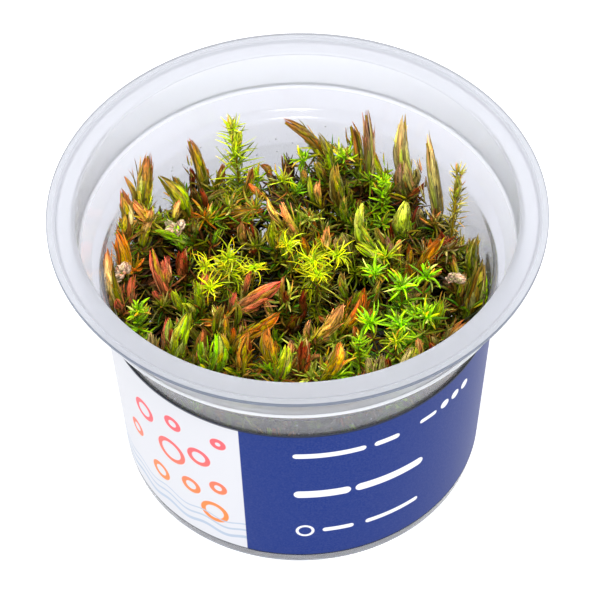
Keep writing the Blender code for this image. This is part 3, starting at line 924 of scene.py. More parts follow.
def label_mesh():
    """A band of film round the body, thickened outwards by Solidify, with a material for each side."""
    bm = bmesh.new()
    angles = [-math.pi / 2 + LABEL_ARC * (step / LABEL_STEPS - 0.5) for step in range(LABEL_STEPS + 1)]
    heights = (LABEL_LOW, 0.5 * (LABEL_LOW + LABEL_HIGH), LABEL_HIGH)
    columns = wall_columns(bm, angles, heights, LABEL_GAP)
    for near, far in zip(columns, columns[1:]):
        for low in range(len(heights) - 1):
            bm.faces.new((near[low], far[low], far[low + 1], near[low + 1]))
    obj = working_object("label_band", mesh_from(bm, "label_band"))
    solidify = obj.modifiers.new("Paper", "SOLIDIFY")
    solidify.thickness = LABEL_THICK
    solidify.offset = 1.0
    result = baked_mesh(obj)
    result.shade_smooth()
    result.set_sharp_from_angle(angle=SHARP_ANGLE)
    for face in result.polygons:
        middle = body_radius(face.center.z) + LABEL_GAP + 0.5 * LABEL_THICK
        if abs(face.normal.z) > 0.9:
            face.material_index = LABEL_CUT
        else:
            face.material_index = LABEL_BACK if face.center.xy.length < middle else LABEL_PRINT
    return result


def label_place(tree):
    """Across: way round the label in metres from its front. Up: height."""
    place = parts_of(tree, position(tree))
    back = maths(tree, "MULTIPLY", place["Y"], -1.0)
    angle = maths(tree, "ARCTAN2", place["X"], back)
    return maths(tree, "MULTIPLY", angle, BODY_TOP_RADIUS), place["Z"]


def off_from(tree, value, centre):
    """How far a value is from a centre, to either side."""
    return maths(tree, "ABSOLUTE", maths(tree, "SUBTRACT", value, centre))


def step_length(tree, x, y):
    """The length of a step across and up."""
    squares = maths(tree, "ADD", maths(tree, "MULTIPLY", x, x), maths(tree, "MULTIPLY", y, y))
    return maths(tree, "SQRT", squares)


def inked(tree, off, half_width, edge):
    """1 within a line's half width, 0 outside, with a soft edge."""
    return ramp(tree, off, half_width - edge, half_width + edge, 1.0, 0.0)


def rounded_bar(tree, across, up, centre, half_size):
    """1 inside a bar with round ends at a place on the label, 0 outside."""
    x = off_from(tree, across, centre[0])
    y = maths(tree, "SUBTRACT", up, centre[1])
    past_middle = maths(tree, "MAXIMUM", maths(tree, "SUBTRACT", x, half_size[0] - half_size[1]), 0.0)
    return inked(tree, step_length(tree, past_middle, y), half_size[1], PRINT_EDGE)


def ring_mark(tree, across, up, centre, radius, half_width):
    """1 on a ring at a place on the label, 0 elsewhere."""
    x = maths(tree, "SUBTRACT", across, centre[0])
    y = maths(tree, "SUBTRACT", up, centre[1])
    return inked(tree, off_from(tree, step_length(tree, x, y), radius), half_width, PRINT_EDGE)


def any_of(tree, marks):
    """1 where any of the marks is."""
    result = marks[0]
    for mark in marks[1:]:
        result = maths(tree, "MAXIMUM", result, mark)
    return result


def blue_side_print(tree, across, up):
    """1 on the plain bars, dots and ring of the blue side."""
    bars = [rounded_bar(tree, across, up, (x * MM, z * MM), (w * MM, h * MM)) for x, z, w, h in BARS]
    dots = [rounded_bar(tree, across, up, (x * MM, z * MM), (r * MM, r * MM)) for x, z, r in DOTS]
    marks = [
        ring_mark(tree, across, up, (x * MM, z * MM), r * MM, MARK_HALF_WIDTH * MM) for x, z, r in MARKS
    ]
    return any_of(tree, bars + dots + marks)


def white_side(tree, across, up, paper):
    """The colour of the white side: its paper, warm rings that change up the label, and wavy lines."""
    rings = [
        ring_mark(tree, across, up, (x * MM, z * MM), r * MM, BUBBLE_HALF_WIDTH * MM) for x, z, r in BUBBLES
    ]
    swing = maths(tree, "SINE", maths(tree, "MULTIPLY", across, WAVE_RATE))
    level = maths(tree, "ADD", up, maths(tree, "MULTIPLY", swing, WAVE_SWING * MM))
    lines = [
        inked(tree, off_from(tree, level, height * MM), half * MM, WAVE_EDGE * MM) for height, half in WAVES
    ]
    warm = mix_colours(tree, ramp(tree, up, 13 * MM, 35 * MM), *map(linear, RING_COLOURS))
    ringed = mix_colours(tree, any_of(tree, rings), paper, warm)
    return mix_colours(tree, any_of(tree, lines), ringed, linear(WAVE_COLOUR))


def painted_shade_edged(tree, up, colour):
    """Darkens a colour along the label's upper and lower edges as painted shade."""
    half_height = 0.5 * (LABEL_HIGH - LABEL_LOW)
    from_middle = off_from(tree, up, 0.5 * (LABEL_LOW + LABEL_HIGH))
    edge = ramp(tree, from_middle, half_height - 0.5 * MM, half_height - 0.3 * MM, 0.0, 0.85)
    return mix_colours(tree, edge, colour, (0.01, 0.015, 0.03))


def label_material(settings):
    """Satin film, blue on one side and white on the other, with plain bars, dots and rings."""
    material, tree, shader = new_material(
        "label_print", Roughness=0.4, IOR=1.45, Specular_IOR_Level=0.1
    )
    across, up = label_place(tree)
    white = white_side(tree, across, up, settings.label_white)
    printed = blue_side_print(tree, across, up)
    blue = mix_colours(tree, printed, settings.label_blue, linear(MARK_COLOUR))
    is_blue = ramp(tree, across, (PANEL_EDGE - 0.1) * MM, (PANEL_EDGE + 0.1) * MM)
    fresh = mix_colours(tree, is_blue, white, blue)
    fibre = noise(tree, position(tree), 2600.0)
    worn = mix_colours(tree, ramp(tree, fibre, 0.3, 0.8, 0.0, 0.025), fresh, (0.75, 0.76, 0.8))
    link(tree, painted_shade_edged(tree, up, worn), shader, "Base Color")
    bump(tree, shader, fibre, 0.00002, 0.35)
    return material


def mottled_material(name, scale, detail, first, second):
    """Matt paper whose colour wanders between two."""
    material, tree, shader = new_material(name, Roughness=0.6)
    shade = ramp(tree, noise(tree, position(tree), scale, detail), 0.3, 0.7)
    link(tree, mix_colours(tree, shade, first, second), shader, "Base Color")
    return material


class ROTALA_OT_label(bpy.types.Operator):
    """Wraps the printed label round the cup"""

    bl_idname = "rotala.label"
    bl_label = "Label"

    def execute(self, context):
        mesh = label_mesh()
        mesh.materials.append(label_material(context.scene.rotala_cup))
        for name, scale, detail, first, second in BARE_PAPERS:
            mesh.materials.append(mottled_material(name, scale, detail, first, second))
        mesh_piece("printed_label", mesh, "label_paper", "label")
        return {"FINISHED"}


def gel_profile():
    """The gel's outline, which climbs a little at the wall."""
    low = FLOOR_RISE + FLOOR_THICK + GEL_GAP
    shoulder = low + 2 * WALL
    top_radius = body_radius(GEL_TOP) - WALL - GEL_GAP
    foot_radius = body_radius(low) - 2 * WALL - GEL_GAP
    return softened([
        ((0, GEL_TOP), 0),
        ((top_radius - 2 * MM, GEL_TOP), 1 * MM),
        ((top_radius, GEL_TOP + 0.8 * MM), 0.2 * MM),
        ((body_radius(shoulder) - WALL - GEL_GAP, shoulder), 0.8 * MM),
        ((foot_radius, low), 0.5 * MM),
        ((0, low), 0),
    ])


def gel_material(settings):
    """Cloudy gel, browner in patches towards its top."""
    material, tree, shader = new_material(
        "cloudy_gel",
        Roughness=0.18,
        IOR=1.34,
        Transmission_Weight=0.25,
        Subsurface_Weight=0.3,
        Subsurface_Radius=(0.004, 0.004, 0.003),
        Subsurface_Scale=1.0,
    )
    place = position(tree)
    cloud = noise(tree, place, 160.0, 5.0)
    brown_patches = ramp(tree, cloud, 0.4, 0.7, 0.5, 1.0)
    top = ramp(tree, parts_of(tree, place)["Z"], GEL_TOP - 3 * MM, GEL_TOP - 0.5 * MM)
    browned = maths(tree, "MULTIPLY", brown_patches, top)
    link(tree, mix_colours(tree, browned, settings.gel_colour, linear(GEL_TOP_BROWN)), shader, "Base Color")
    bump(tree, shader, cloud, 0.0004, 0.4)
    return material


class ROTALA_OT_gel(bpy.types.Operator):
    """Pours the gel in the foot of the cup"""

    bl_idname = "rotala.gel"
    bl_label = "Gel"

    def execute(self, context):
        mesh = turned_mesh("gel_disc", gel_profile(), GEL_STEPS)
        mesh.materials.append(gel_material(context.scene.rotala_cup))
        mesh_piece("gel_bed", mesh, "nutrient_gel", "gel")
        return {"FINISHED"}


class Strands:
    """The leaves and stems of one plantlet as chains of points, for Geometry Nodes to thicken."""

    def __init__(self, brightness, saturation):
        self.brightness = brightness
        self.saturation = saturation
        self.points = []
        self.edges = []
        self.flat_sides = []
        self.half_widths = []
        self.tints = []
        self.alongs = []
        self.seeds = []
        self.forms = []

    def add(self, points, flat_sides, half_widths, tints, form, seed):
        """Adds one leaf or stem, held inside the cup."""
        first = len(self.points)
        last = len(points) - 1
        for i, point in enumerate(points):
            self.points.append(inside_cup(point))
            self.flat_sides.append(flat_sides[i])
            self.half_widths.append(half_widths[i])
            self.tints.append(saturated(tints[i] * self.brightness, self.saturation))
            self.alongs.append(i / last)
            self.seeds.append(seed)
            self.forms.append(form)
        self.edges.extend((first + i, first + i + 1) for i in range(last))

    def mesh(self, name):
        """The chains as a mesh of edges, with what each point carries as attributes."""
        mesh = bpy.data.meshes.new(name)
        mesh.from_pydata(self.points, self.edges, [])
        scalars = {"half_width": self.half_widths, "along": self.alongs, "leaf_seed": self.seeds}
        for key, values in scalars.items():
            mesh.attributes.new(key, "FLOAT", "POINT").data.foreach_set("value", values)
        mesh.attributes.new("form", "INT", "POINT").data.foreach_set("value", self.forms)
        sides = [value for side in self.flat_sides for value in side]
        mesh.attributes.new("flat_side", "FLOAT_VECTOR", "POINT").data.foreach_set("vector", sides)
        tints = [value for tint in self.tints for value in (*tint, 1.0)]
        mesh.attributes.new("tint", "FLOAT_COLOR", "POINT").data.foreach_set("color", tints)
        return mesh


def inside_cup(point):
    """Holds a point of a leaf or a stem clear of the wall."""
    most = inner_radius(point.z) - LEAF_GAP
    radius = point.xy.length
    if radius <= most:
        return point.copy()
    return Vector((point.x * most / radius, point.y * most / radius, point.z))


def shoot_place(point, width):
    """A listed place in metres, drawn in where a head of that width would come too near the wall."""
    place = Vector(point) * MM
    room = inner_radius(place.z) - 0.5 * width * MM - WALL_GAP
    share = min(1, room / place.xy.length)
    return Vector((place.x * share, place.y * share, place.z))


def across_shoot(direction):
    """Two unit vectors square to a shoot's direction: along its broad side, and through it."""
    broad = direction.cross(FACING).normalized()
    return broad, direction.cross(broad).normalized()


def table_value(table, key):
    """Reads a value between the points of a short table of pairs."""
    for (low, low_value), (high, high_value) in zip(table, table[1:]):
        if key <= high:
            share = max(0.0, (key - low) / (high - low))
            return low_value + (high_value - low_value) * share
    return table[-1][1]


def painted_depth_shade(point):
    """Painted shade on leaves low in the cup and painted light on those at its top, with painted light that
    lessens the shade beside the wall.
    """
    way_out = (point.xy.length / MM - WALL_PAINTED_LIGHT_START) / (WALL_PAINTED_LIGHT_FULL - WALL_PAINTED_LIGHT_START)
    beside_wall = min(max(way_out, 0), 1)
    return max(table_value(PAINTED_DEPTH_SHADE, point.z / MM), WALL_PAINTED_LIGHT * beside_wall)


def shaded_tints(points, low, high, brightness):
    """A colour for each point, from low at the foot to high at the tip, shaded by where it is."""
    last = len(points) - 1
    return [
        low.lerp(high, (i / last) ** 1.3) * brightness * painted_depth_shade(point)
        for i, point in enumerate(points)
    ]


def grow_needle(strands, base, axis, out, length, splay, curl, width, sway, tints, rng):
    """A leaf that leaves its stem at an angle of splay and turns by curl over its length."""
    side = axis.cross(out)
    lean = rng.uniform(-sway, sway)
    steps = len(NEEDLE_WIDTHS) - 1
    points = [base]
    flat_sides = []
    for i in range(steps):
        angle = splay + curl * (i + 0.5) / steps
        heading = axis * math.cos(angle) + out * math.sin(angle) + side * (lean * (i + 0.5) / steps)
        points.append(points[-1] + heading.normalized() * (length / steps))
    for i in range(steps + 1):
        angle = splay + curl * i / steps
        flat_sides.append(axis * math.sin(angle) - out * math.cos(angle))
    widths = [0.5 * width * share for share in NEEDLE_WIDTHS]
    colours = shaded_tints(points, *tints, rng.triangular(*NEEDLE_LIGHT))
    strands.add(points, flat_sides, widths, colours, NEEDLE, rng.random())


def grow_whorl(strands, centre, axis, count, length, splay, width, habit, pick_tints, rng):
    """A ring of leaves about a stem. pick_tints gives each leaf its two colours."""
    tilt = Vector((rng.uniform(-1, 1), rng.uniform(-1, 1), rng.uniform(-1, 1))) * WHORL_TILT
    axis = (axis + tilt).normalized()
    broad, deep = across_shoot(axis)
    start = rng.uniform(0, math.tau)
    for i in range(count):
        turn = start + math.tau * i / count + rng.uniform(-0.3, 0.3)
        out = broad * math.cos(turn) + deep * math.sin(turn)
        grow_needle(
            strands, centre + out * (0.6 * STEM_RADIUS), axis, out,
            length * rng.uniform(0.5, 1.25),
            splay + rng.uniform(-0.5, 0.45),
            habit.curl * rng.uniform(-0.4, 1.2) + rng.uniform(-0.7, 0.4),
            width * habit.width * rng.uniform(0.7, 1.35),
            habit.sway, pick_tints(), rng,
        )


def grow_stem(strands, points, rng, radius=STEM_RADIUS):
    """A round stem through points, thinner at its top."""
    last = len(points) - 1
    widths = [radius * (1 - 0.5 * i / last) for i in range(last + 1)]
    tints = shaded_tints(points, *map(linear, STEM_TINTS), 1.0)
    strands.add(points, [FACING] * (last + 1), widths, tints, STEM, rng.random())


def bend(start, middle, end, steps):
    """Points along a smooth bend that heads for its middle point."""
    return [
        start.lerp(middle, i / steps).lerp(middle.lerp(end, i / steps), i / steps)
        for i in range(steps + 1)
    ]


def path_place(path, share):
    """A point on a path and the path's direction there."""
    place = share * (len(path) - 1)
    step = min(int(place), len(path) - 2)
    return path[step].lerp(path[step + 1], place - step), (path[step + 1] - path[step]).normalized()


def old_leaf_tints(tint, rng):
    """A picker of two colours for an old leaf near shoots of a tint."""
    young = linear(TINTS[tint][0])

    def pick():
        old = linear(rng.choice(OLD_LEAVES))
        return old, old.lerp(young, rng.uniform(0.1, 0.9))

    return pick


def young_leaf_tints(tint, rng):
    """A picker of two colours for a young leaf of a tint, some with an odd tip."""
    low, high = map(linear, TINTS[tint])

    def pick():
        share = rng.uniform(-0.25, 0.6)
        tip = high.lerp(low, max(-2 * share, 0))
        if rng.random() < 0.3:
            tip = tip.lerp(linear(rng.choice(YOUNG_TIPS)), rng.uniform(0.4, 0.9))
        return low.lerp(high, max(share, 0)), tip

    return pick


def tuft_tints(tint, rng):
    """Two colours for one leaf of a closed head: its own, or one of the odd greener or browner ones."""
    low, high = map(linear, TINTS[tint])
    if rng.random() < 0.45:
        low = low.lerp(linear(rng.choice(ODD_LEAVES)), rng.uniform(0.3, 0.8))
    if rng.random() < 0.3:
        high = high.lerp(linear(rng.choice(ODD_LEAVES)), rng.uniform(0.3, 0.7))
    return low, high


def grow_old_leaves(strands, path, bare, tint, leaf, rng):
    """Whorls of old leaves up a stem, from the end of its bare foot to its neck."""
    length = sum((b - a).length for a, b in zip(path, path[1:]))
    count = max(2, round(length * (1 - bare) / leaf.whorl_spacing))
    pick_tints = old_leaf_tints(tint, rng)
    for i in range(count):
        along = bare + (1 - bare) * (i + 0.5) / count
        centre, axis = path_place(path, along)
        size = leaf.needle_length * table_value(OLD_LEAF_LENGTHS, along)
        splay = math.radians(table_value(OLD_LEAF_SPLAY, along))
        grow_whorl(
            strands, centre, axis, leaf.leaves_per_whorl, size, splay,
            leaf.needle_width, HABITS["plain"], pick_tints, rng,
        )


def grow_litter(strands, path, leaf, rng):
    """Broad dead leaves low on a stem, which close the carpet under the shoots."""

    def pick_tints():
        return linear(rng.choice(LITTER)), linear(rng.choice(LITTER))

    for share in LITTER_SHARES:
        centre, axis = path_place(path, share)
        grow_whorl(
            strands, centre, axis, LITTER_WHORL, 1.35 * leaf.needle_length, math.radians(82),
            2.4 * leaf.needle_width, HABITS["plain"], pick_tints, rng,
        )


def grow_wall_leaves(strands, path, top, rng):
    """Dull leaves that reach from a stem near the wall to the wall, up to a height, and lie along it."""
    for _ in range(WALL_LEAVES):
        start, _ = path_place(path, rng.uniform(0.1, 0.95))
        turn = math.atan2(start.y, start.x) + rng.uniform(-0.35, 0.35)
        out = Vector((math.cos(turn), math.sin(turn), 0))
        sideways = Vector((-out.y, out.x, 0)) * rng.uniform(-0.8, 0.8)
        height = min(start.z + rng.uniform(-1, 5) * MM, top)
        touch = out * (inner_radius(height) - WALL)
        touch.z = height
        end = touch + (sideways + Vector((0, 0, 1))).normalized() * (rng.uniform(3, 7) * MM)
        points = bend(start, touch, end, len(NEEDLE_WIDTHS) - 1)
        width = rng.uniform(0.8, 2.2) * MM
        tints = (linear(rng.choice(WALL_TINTS)), linear(rng.choice(WALL_TINTS)))
        colours = shaded_tints(points, *tints, WALL_LEAF_PAINTED_SHADE * rng.uniform(0.5, 1.8))
        widths = [0.5 * width * share for share in NEEDLE_WIDTHS]
        strands.add(points, [out] * len(points), widths, colours, NEEDLE, rng.random())


class Head:
    """The spindle that the leaves of a closed head follow."""

    def __init__(self, neck, tip, width, rng):
        self.neck = neck
        self.tip = tip
        self.width = width
        self.axis = (tip - neck).normalized()
        self.broad, self.deep = across_shoot(self.axis)
        length = (tip - neck).length
        self.bow = self.broad * (rng.uniform(-0.07, 0.07) * length)
        self.hook = self.broad * (rng.uniform(-0.09, 0.09) * length)

    def point(self, along, angle, spread, flare):
        """A place on the spindle, part of the way up and part of the way round, flared out from it."""
        out = self.broad * math.cos(angle) + self.deep * (math.sin(angle) * SPEAR_FLATNESS)
        reach = 0.5 * self.width * (table_value(SPINDLE, along) * spread + flare)
        sag = self.bow * math.sin(math.pi * min(max(along, 0.0), 1.0)) + self.hook * max(0, along - 0.5) ** 2
        return self.neck.lerp(self.tip, along) + out * reach + sag

    def side(self, angle):
        """Which way the spindle's surface faces, part of the way round it."""
        return (self.broad * (math.cos(angle) * SPEAR_FLATNESS) + self.deep * math.sin(angle)).normalized()


def grow_blade(strands, head, turn, span, spread, flare, half_width, tints, rng):
    """One leaf of a closed head: it follows the head's spindle over a span and flares at its tip."""
    twist = rng.uniform(-0.6, 0.6)
    steps = len(BLADE_WIDTHS) - 1
    points = []
    flat_sides = []
    for i in range(steps + 1):
        share = i / steps
        angle = turn + twist * share
        along = span[0] + (span[1] - span[0]) * share
        points.append(head.point(along, angle, spread, flare * share ** 3))
        flat_sides.append(head.side(angle))
    widths = [half_width * share for share in BLADE_WIDTHS]
    colours = shaded_tints(points, *tints, rng.triangular(*BLADE_LIGHT))
    strands.add(points, flat_sides, widths, colours, BLADE, rng.random())


def tint_at(tints, span):
    """The part of a head's change of colour that one of its leaves shows."""
    low, high = tints
    start, end = (min(max(place, 0.0), 1.0) for place in span)
    return low.lerp(high, 0.7 * start), low.lerp(high, 0.3 + 0.7 * end)


def grow_tuft(strands, neck, tip, width, tint, rng):
    """A closed head: a core darkened as painted shade between its leaves, long inner leaves and shorter outer
    ones, one above the other.
    """
    head = Head(neck, tip, width, rng)
    core_shade = [linear(colour) * 0.3 for colour in TINTS[tint]]
    for turn in (0.0, math.pi / 2):
        grow_blade(strands, head, turn, (-0.1, 0.8), 0.1, 0, 0.33 * width, core_shade, rng)
    inner = 4 + round(0.6 * width / MM)
    for i in range(inner):
        turn = math.tau * i / inner + rng.uniform(-0.3, 0.3)
        span = (rng.uniform(-0.05, 0.25), rng.uniform(0.84, 1.02))
        half_width = (0.15 * width + 0.1 * MM) * rng.uniform(0.8, 1.2)
        grow_blade(strands, head, turn, span, 0.7, 0, half_width, tuft_tints(tint, rng), rng)
    outer = 7 + round(2.4 * width / MM)
    for i in range(outer):
        turn = GOLDEN_ANGLE * i + rng.uniform(-0.3, 0.3)
        start = -0.16 + 0.74 * (outer - i) / outer + rng.uniform(-0.05, 0.05)
        span = (start, min(start + rng.uniform(0.32, 0.55), rng.uniform(0.9, 1.03)))
        half_width = (0.16 * width + 0.1 * MM) * rng.uniform(0.7, 1.3)
        flare = rng.choice(BLADE_FLARES)
        tints = tint_at(tuft_tints(tint, rng), span)
        grow_blade(strands, head, turn, span, rng.uniform(0.8, 0.98), flare, half_width, tints, rng)


def grow_wisps(strands, neck, tip, width, tint, leaf, rng):
    """Fine leaves that stick to the side of a closed head or stand a little off it."""
    head = Head(neck, tip, width, rng)
    for _ in range(WISPS):
        turn = rng.uniform(0, math.tau)
        along = rng.uniform(0.0, 0.62)
        base = head.point(along, turn, 0.85, 0)
        out = (head.broad * math.cos(turn) + head.deep * math.sin(turn)).normalized()
        grow_needle(
            strands, base, head.axis, out, rng.uniform(2.2, 4.5) * MM, rng.uniform(0.0, 0.4),
            rng.uniform(-0.5, 0.3), 0.75 * leaf.needle_width, 0.5, tuft_tints(tint, rng), rng,
        )


def grow_spear(strands, neck, tip, width, tint, leaf, rng):
    """A closed head with a collar of open leaves."""
    grow_tuft(strands, neck, tip, width, tint, rng)
    grow_wisps(strands, neck, tip, width, tint, leaf, rng)
    axis = (tip - neck).normalized()
    pick_tints = old_leaf_tints(tint, rng)
    for share in (-0.1, 0.1):
        grow_whorl(
            strands, neck.lerp(tip, share), axis, COLLAR_WHORL, 0.8 * leaf.needle_length,
            math.radians(38), leaf.needle_width, HABITS["plain"], pick_tints, rng,
        )


def grow_crown(strands, centre, axis, size, tint, habit, leaf, rng):
    """The open end of a shoot: a star of leaves about a smaller upright one."""
    pick_tints = young_leaf_tints(tint, rng)
    for count, length, splay in ((habit.leaves, 1.0, 68), (habit.leaves - 1, 0.85, 44), (5, 0.6, 18)):
        grow_whorl(
            strands, centre, axis, count, size * length, math.radians(splay),
            1.1 * leaf.needle_width, habit, pick_tints, rng,
        )


def grow_bushy_head(strands, neck, tip, width, tint, leaf, rng):
    """Open whorls one above the other, smaller and more upright towards the tip."""
    axis = (tip - neck).normalized()
    habit = HABITS.get(tint, HABITS["plain"])
    count = max(3, round((tip - neck).length / leaf.whorl_spacing))
    pick_tints = young_leaf_tints(tint, rng)
    for i in range(count):
        along = (i + 0.5) / count
        length = habit.length * width * table_value(BUSHY_LENGTHS, along)
        splay = math.radians(table_value(BUSHY_SPLAY, along))
        grow_whorl(
            strands, neck.lerp(tip, along * 0.92), axis, habit.leaves, length, splay,
            1.1 * leaf.needle_width, habit, pick_tints, rng,
        )
    grow_crown(strands, neck.lerp(tip, 0.94), axis, 0.4 * width, tint, habit, leaf, rng)
    for _ in range(habit.tufts):
        foot = neck.lerp(tip, rng.uniform(0.55, 0.8))
        lean = Vector((rng.uniform(-0.6, 0.6), rng.uniform(-0.3, 0.3), 0))
        end = foot + (axis + lean).normalized() * (rng.uniform(5, 7) * MM)
        grow_tuft(strands, foot, end, rng.uniform(1.3, 1.9) * MM, tint, rng)


def grow_sprig(strands, path, share, end, tint, is_open, leaf, rng):
    """A small side shoot that leaves a stem and ends at a place beside it, open or closed."""
    start, _ = path_place(path, share)
    out = Vector((end.x - start.x, end.y - start.y, 0)).normalized()
    middle = start.lerp(end, 0.55) + out * (0.3 * (end - start).xy.length)
    stem = bend(start, middle, end, 4)
    grow_stem(strands, stem, rng, 0.55 * STEM_RADIUS)
    habit = HABITS.get(tint, HABITS["plain"])
    pick_tints = old_leaf_tints(tint, rng)
    for along in (0.5, 0.75):
        centre, axis = path_place(stem, along)
        grow_whorl(
            strands, centre, axis, SPRIG_WHORL, 0.75 * leaf.needle_length, math.radians(60),
            leaf.needle_width, habit, pick_tints, rng,
        )
    axis = (end - middle).normalized()
    if is_open:
        grow_crown(strands, end, axis, rng.uniform(3.2, 4.8) * MM, tint, habit, leaf, rng)
    else:
        tip = end + (axis + out * rng.uniform(-0.3, 0.5)).normalized() * (rng.uniform(4.5, 8) * MM)
        grow_tuft(strands, end, tip, rng.uniform(1.2, 2.0) * MM, tint, rng)


def grow_husk(strands, path, end, rng):
    """A small side shoot that died: a few pale crumpled tufts from one point."""
    start, _ = path_place(path, LISTED_FORK)
    grow_stem(strands, bend(start, start.lerp(end, 0.5), end, 3), rng, 0.5 * STEM_RADIUS)
    for _ in range(4):
        lean = Vector((rng.uniform(-1, 1), rng.uniform(-0.8, 0.4), rng.uniform(0.1, 0.7))).normalized()
        grow_tuft(strands, end, end + lean * (rng.uniform(2.4, 3.6) * MM), 2.0 * MM, "husk", rng)


def sprig_end(neck, rng):
    """Where a small side shoot ends: beside a shoot's neck, and not too far down in the cup."""
    turn = rng.uniform(0, math.tau)
    reach = rng.uniform(*SPRIG_REACH) * MM
    level = max(neck.z, SPRIG_LEVEL) + rng.uniform(*SPRIG_RISE) * MM
    return Vector((neck.x + reach * math.cos(turn), neck.y + reach * math.sin(turn), level))


def grow_shoot(strands, foot, shoot, bare, sprigs, leaf, rng):
    """One stem with its old leaves, its head and its small side shoots. Returns the stem's path."""
    form, neck, tip, width, tint = shoot
    neck, tip = shoot_place(neck, width), shoot_place(tip, width)
    ahead = neck + (neck - tip).normalized() * (0.35 * (neck - foot).length)
    path = bend(foot, ahead, neck, 8)
    grow_stem(strands, path + [neck.lerp(tip, 0.5), neck.lerp(tip, 0.9)], rng)
    grow_old_leaves(strands, path, bare, tint, leaf, rng)
    grow_litter(strands, path, leaf, rng)
    if neck.xy.length > WALL_SHOOT_RADIUS:
        top = WALL_LEAF_TOP_AT_BACK if neck.y > BACK_START else WALL_LEAF_TOP
        grow_wall_leaves(strands, path, top, rng)
    grow_head = grow_spear if form == SPEAR else grow_bushy_head
    grow_head(strands, neck, tip, width * MM, tint, leaf, rng)
    for _ in range(sprigs):
        is_open = form == BUSHY or rng.random() < 0.3
        zones = OPEN_SPRIG_TINTS if is_open else CLOSED_SPRIG_TINTS
        palette = next(tints for limit, tints in zones if neck.x < limit * MM)
        sprig_tint = tint if rng.random() < 0.45 and is_open == (form == BUSHY) else rng.choice(palette)
        end = sprig_end(neck, rng)
        grow_sprig(strands, path, rng.uniform(0.5, 0.85), end, sprig_tint, is_open, leaf, rng)
    return path


def chain_value(tree, name, kind):
    """Reads what each point of a chain carries under a name."""
    return add_node(
        tree, "GeometryNodeInputNamedAttribute", {"Name": name}, data_type=kind
    ).outputs["Attribute"]


def leaf_profile(tree, sides, flatness):
    """A ring pressed flat, whose points keep how far across the leaf they lie."""
    ring = add_node(
        tree, "GeometryNodeCurvePrimitiveCircle", {"Resolution": sides, "Radius": 1.0}
    ).outputs[0]
    place = add_node(tree, "GeometryNodeInputPosition").outputs[0]
    marked = add_node(
        tree,
        "GeometryNodeStoreNamedAttribute",
        {"Geometry": ring, "Name": "across", "Value": parts_of(tree, place)["Y"]},
        data_type="FLOAT",
    ).outputs[0]
    pressed = combined(tree, flatness, 1.0, 1.0)
    return add_node(tree, "GeometryNodeTransform", {"Geometry": marked, "Scale": pressed}).outputs[0]


def leaf_tree(material):
    """Thickens chains of points: needles and blades on flat profiles, stems on a round one."""
    sizes = {
        "Needle flatness": "NodeSocketFloat",
        "Blade flatness": "NodeSocketFloat",
        "Needle sides": "NodeSocketInt",
        "Blade sides": "NodeSocketInt",
    }
    tree, given = new_geometry_tree("Leaves along strands", sizes)
    chains = add_node(tree, "GeometryNodeMeshToCurve", {"Mesh": given["Geometry"]}).outputs[0]
    flat_side = chain_value(tree, "flat_side", "FLOAT_VECTOR")
    half_width = chain_value(tree, "half_width", "FLOAT")
    form = chain_value(tree, "form", "INT")
    turned = add_node(
        tree, "GeometryNodeSetCurveNormal", {"Curve": chains, "Normal": flat_side}, mode="FREE"
    ).outputs[0]
    join = tree.nodes.new("GeometryNodeJoinGeometry")
    branches = (
        (NEEDLE, given["Needle sides"], given["Needle flatness"]),
        (BLADE, given["Blade sides"], given["Blade flatness"]),
        (STEM, given["Blade sides"], 1.0),
    )
    for wanted, sides, flatness in branches:
        is_wanted = add_node(
            tree, "FunctionNodeCompare", {2: form, 3: wanted}, data_type="INT", operation="EQUAL"
        ).outputs[0]
        chosen = add_node(
            tree, "GeometryNodeSeparateGeometry", {"Geometry": turned, "Selection": is_wanted}
        ).outputs[0]
        profile = leaf_profile(tree, sides, flatness)
        solid = add_node(
            tree,
            "GeometryNodeCurveToMesh",
            {"Curve": chosen, "Profile Curve": profile, "Scale": half_width, "Fill Caps": True},
        ).outputs[0]
        tree.links.new(solid, join.inputs[0])
    close_geometry_tree(tree, join.outputs[0], material)
    return tree


def leaf_value(tree, name, output="Fac"):
    """Reads what a point of a leaf keeps under a name."""
    return add_node(tree, "ShaderNodeAttribute", attribute_name=name).outputs[output]


def leaf_material():
    """Wet leaf: its own tint with patches and streaks along it, and paler edges that are partly a painted
    highlight.
    """
    material, tree, shader = new_material(
        "rotala_leaf", Roughness=0.36, IOR=1.42, Specular_IOR_Level=0.3, Coat_Weight=0.3, Coat_Roughness=0.06
    )
    tint = leaf_value(tree, "tint", "Color")
    across = leaf_value(tree, "across")
    leaf_place = combined(
        tree,
        maths(tree, "MULTIPLY", across, 2.6),
        maths(tree, "MULTIPLY", leaf_value(tree, "along"), 2.6),
        maths(tree, "MULTIPLY", leaf_value(tree, "leaf_seed"), 50.0),
    )
    streak = noise(tree, leaf_place, 1.6, 4.0)
    light = ramp(tree, streak, 0.34, 0.66, 0.4, 1.8)
    grey = add_node(tree, "ShaderNodeCombineColor", {0: light, 1: light, 2: light}).outputs[0]
    streaked = mix_colours(tree, 1.0, tint, grey, "MULTIPLY")
    fine = noise(tree, leaf_place, 5.0, 3.0)
    # Pale edges, partly the leaf's own and partly a painted highlight, only on leaves that painted shade
    # leaves light.
    rim = ramp(tree, maths(tree, "ABSOLUTE", across), 0.6, 1.0)
    broken = ramp(tree, fine, 0.45, 0.62, 0.1, 0.75)
    lit = ramp(tree, parts_of(tree, tint)["Y"], 0.05, 0.3)
    edge = maths(tree, "MULTIPLY", maths(tree, "MULTIPLY", rim, broken), lit)
    link(tree, mix_colours(tree, edge, streaked, linear(LEAF_EDGE_HIGHLIGHT)), shader, "Base Color")
    link(tree, ramp(tree, streak, 0.3, 0.7, 0.44, 0.26), shader, "Roughness")
    bump(tree, shader, fine, 0.0001, 0.7)
    return material


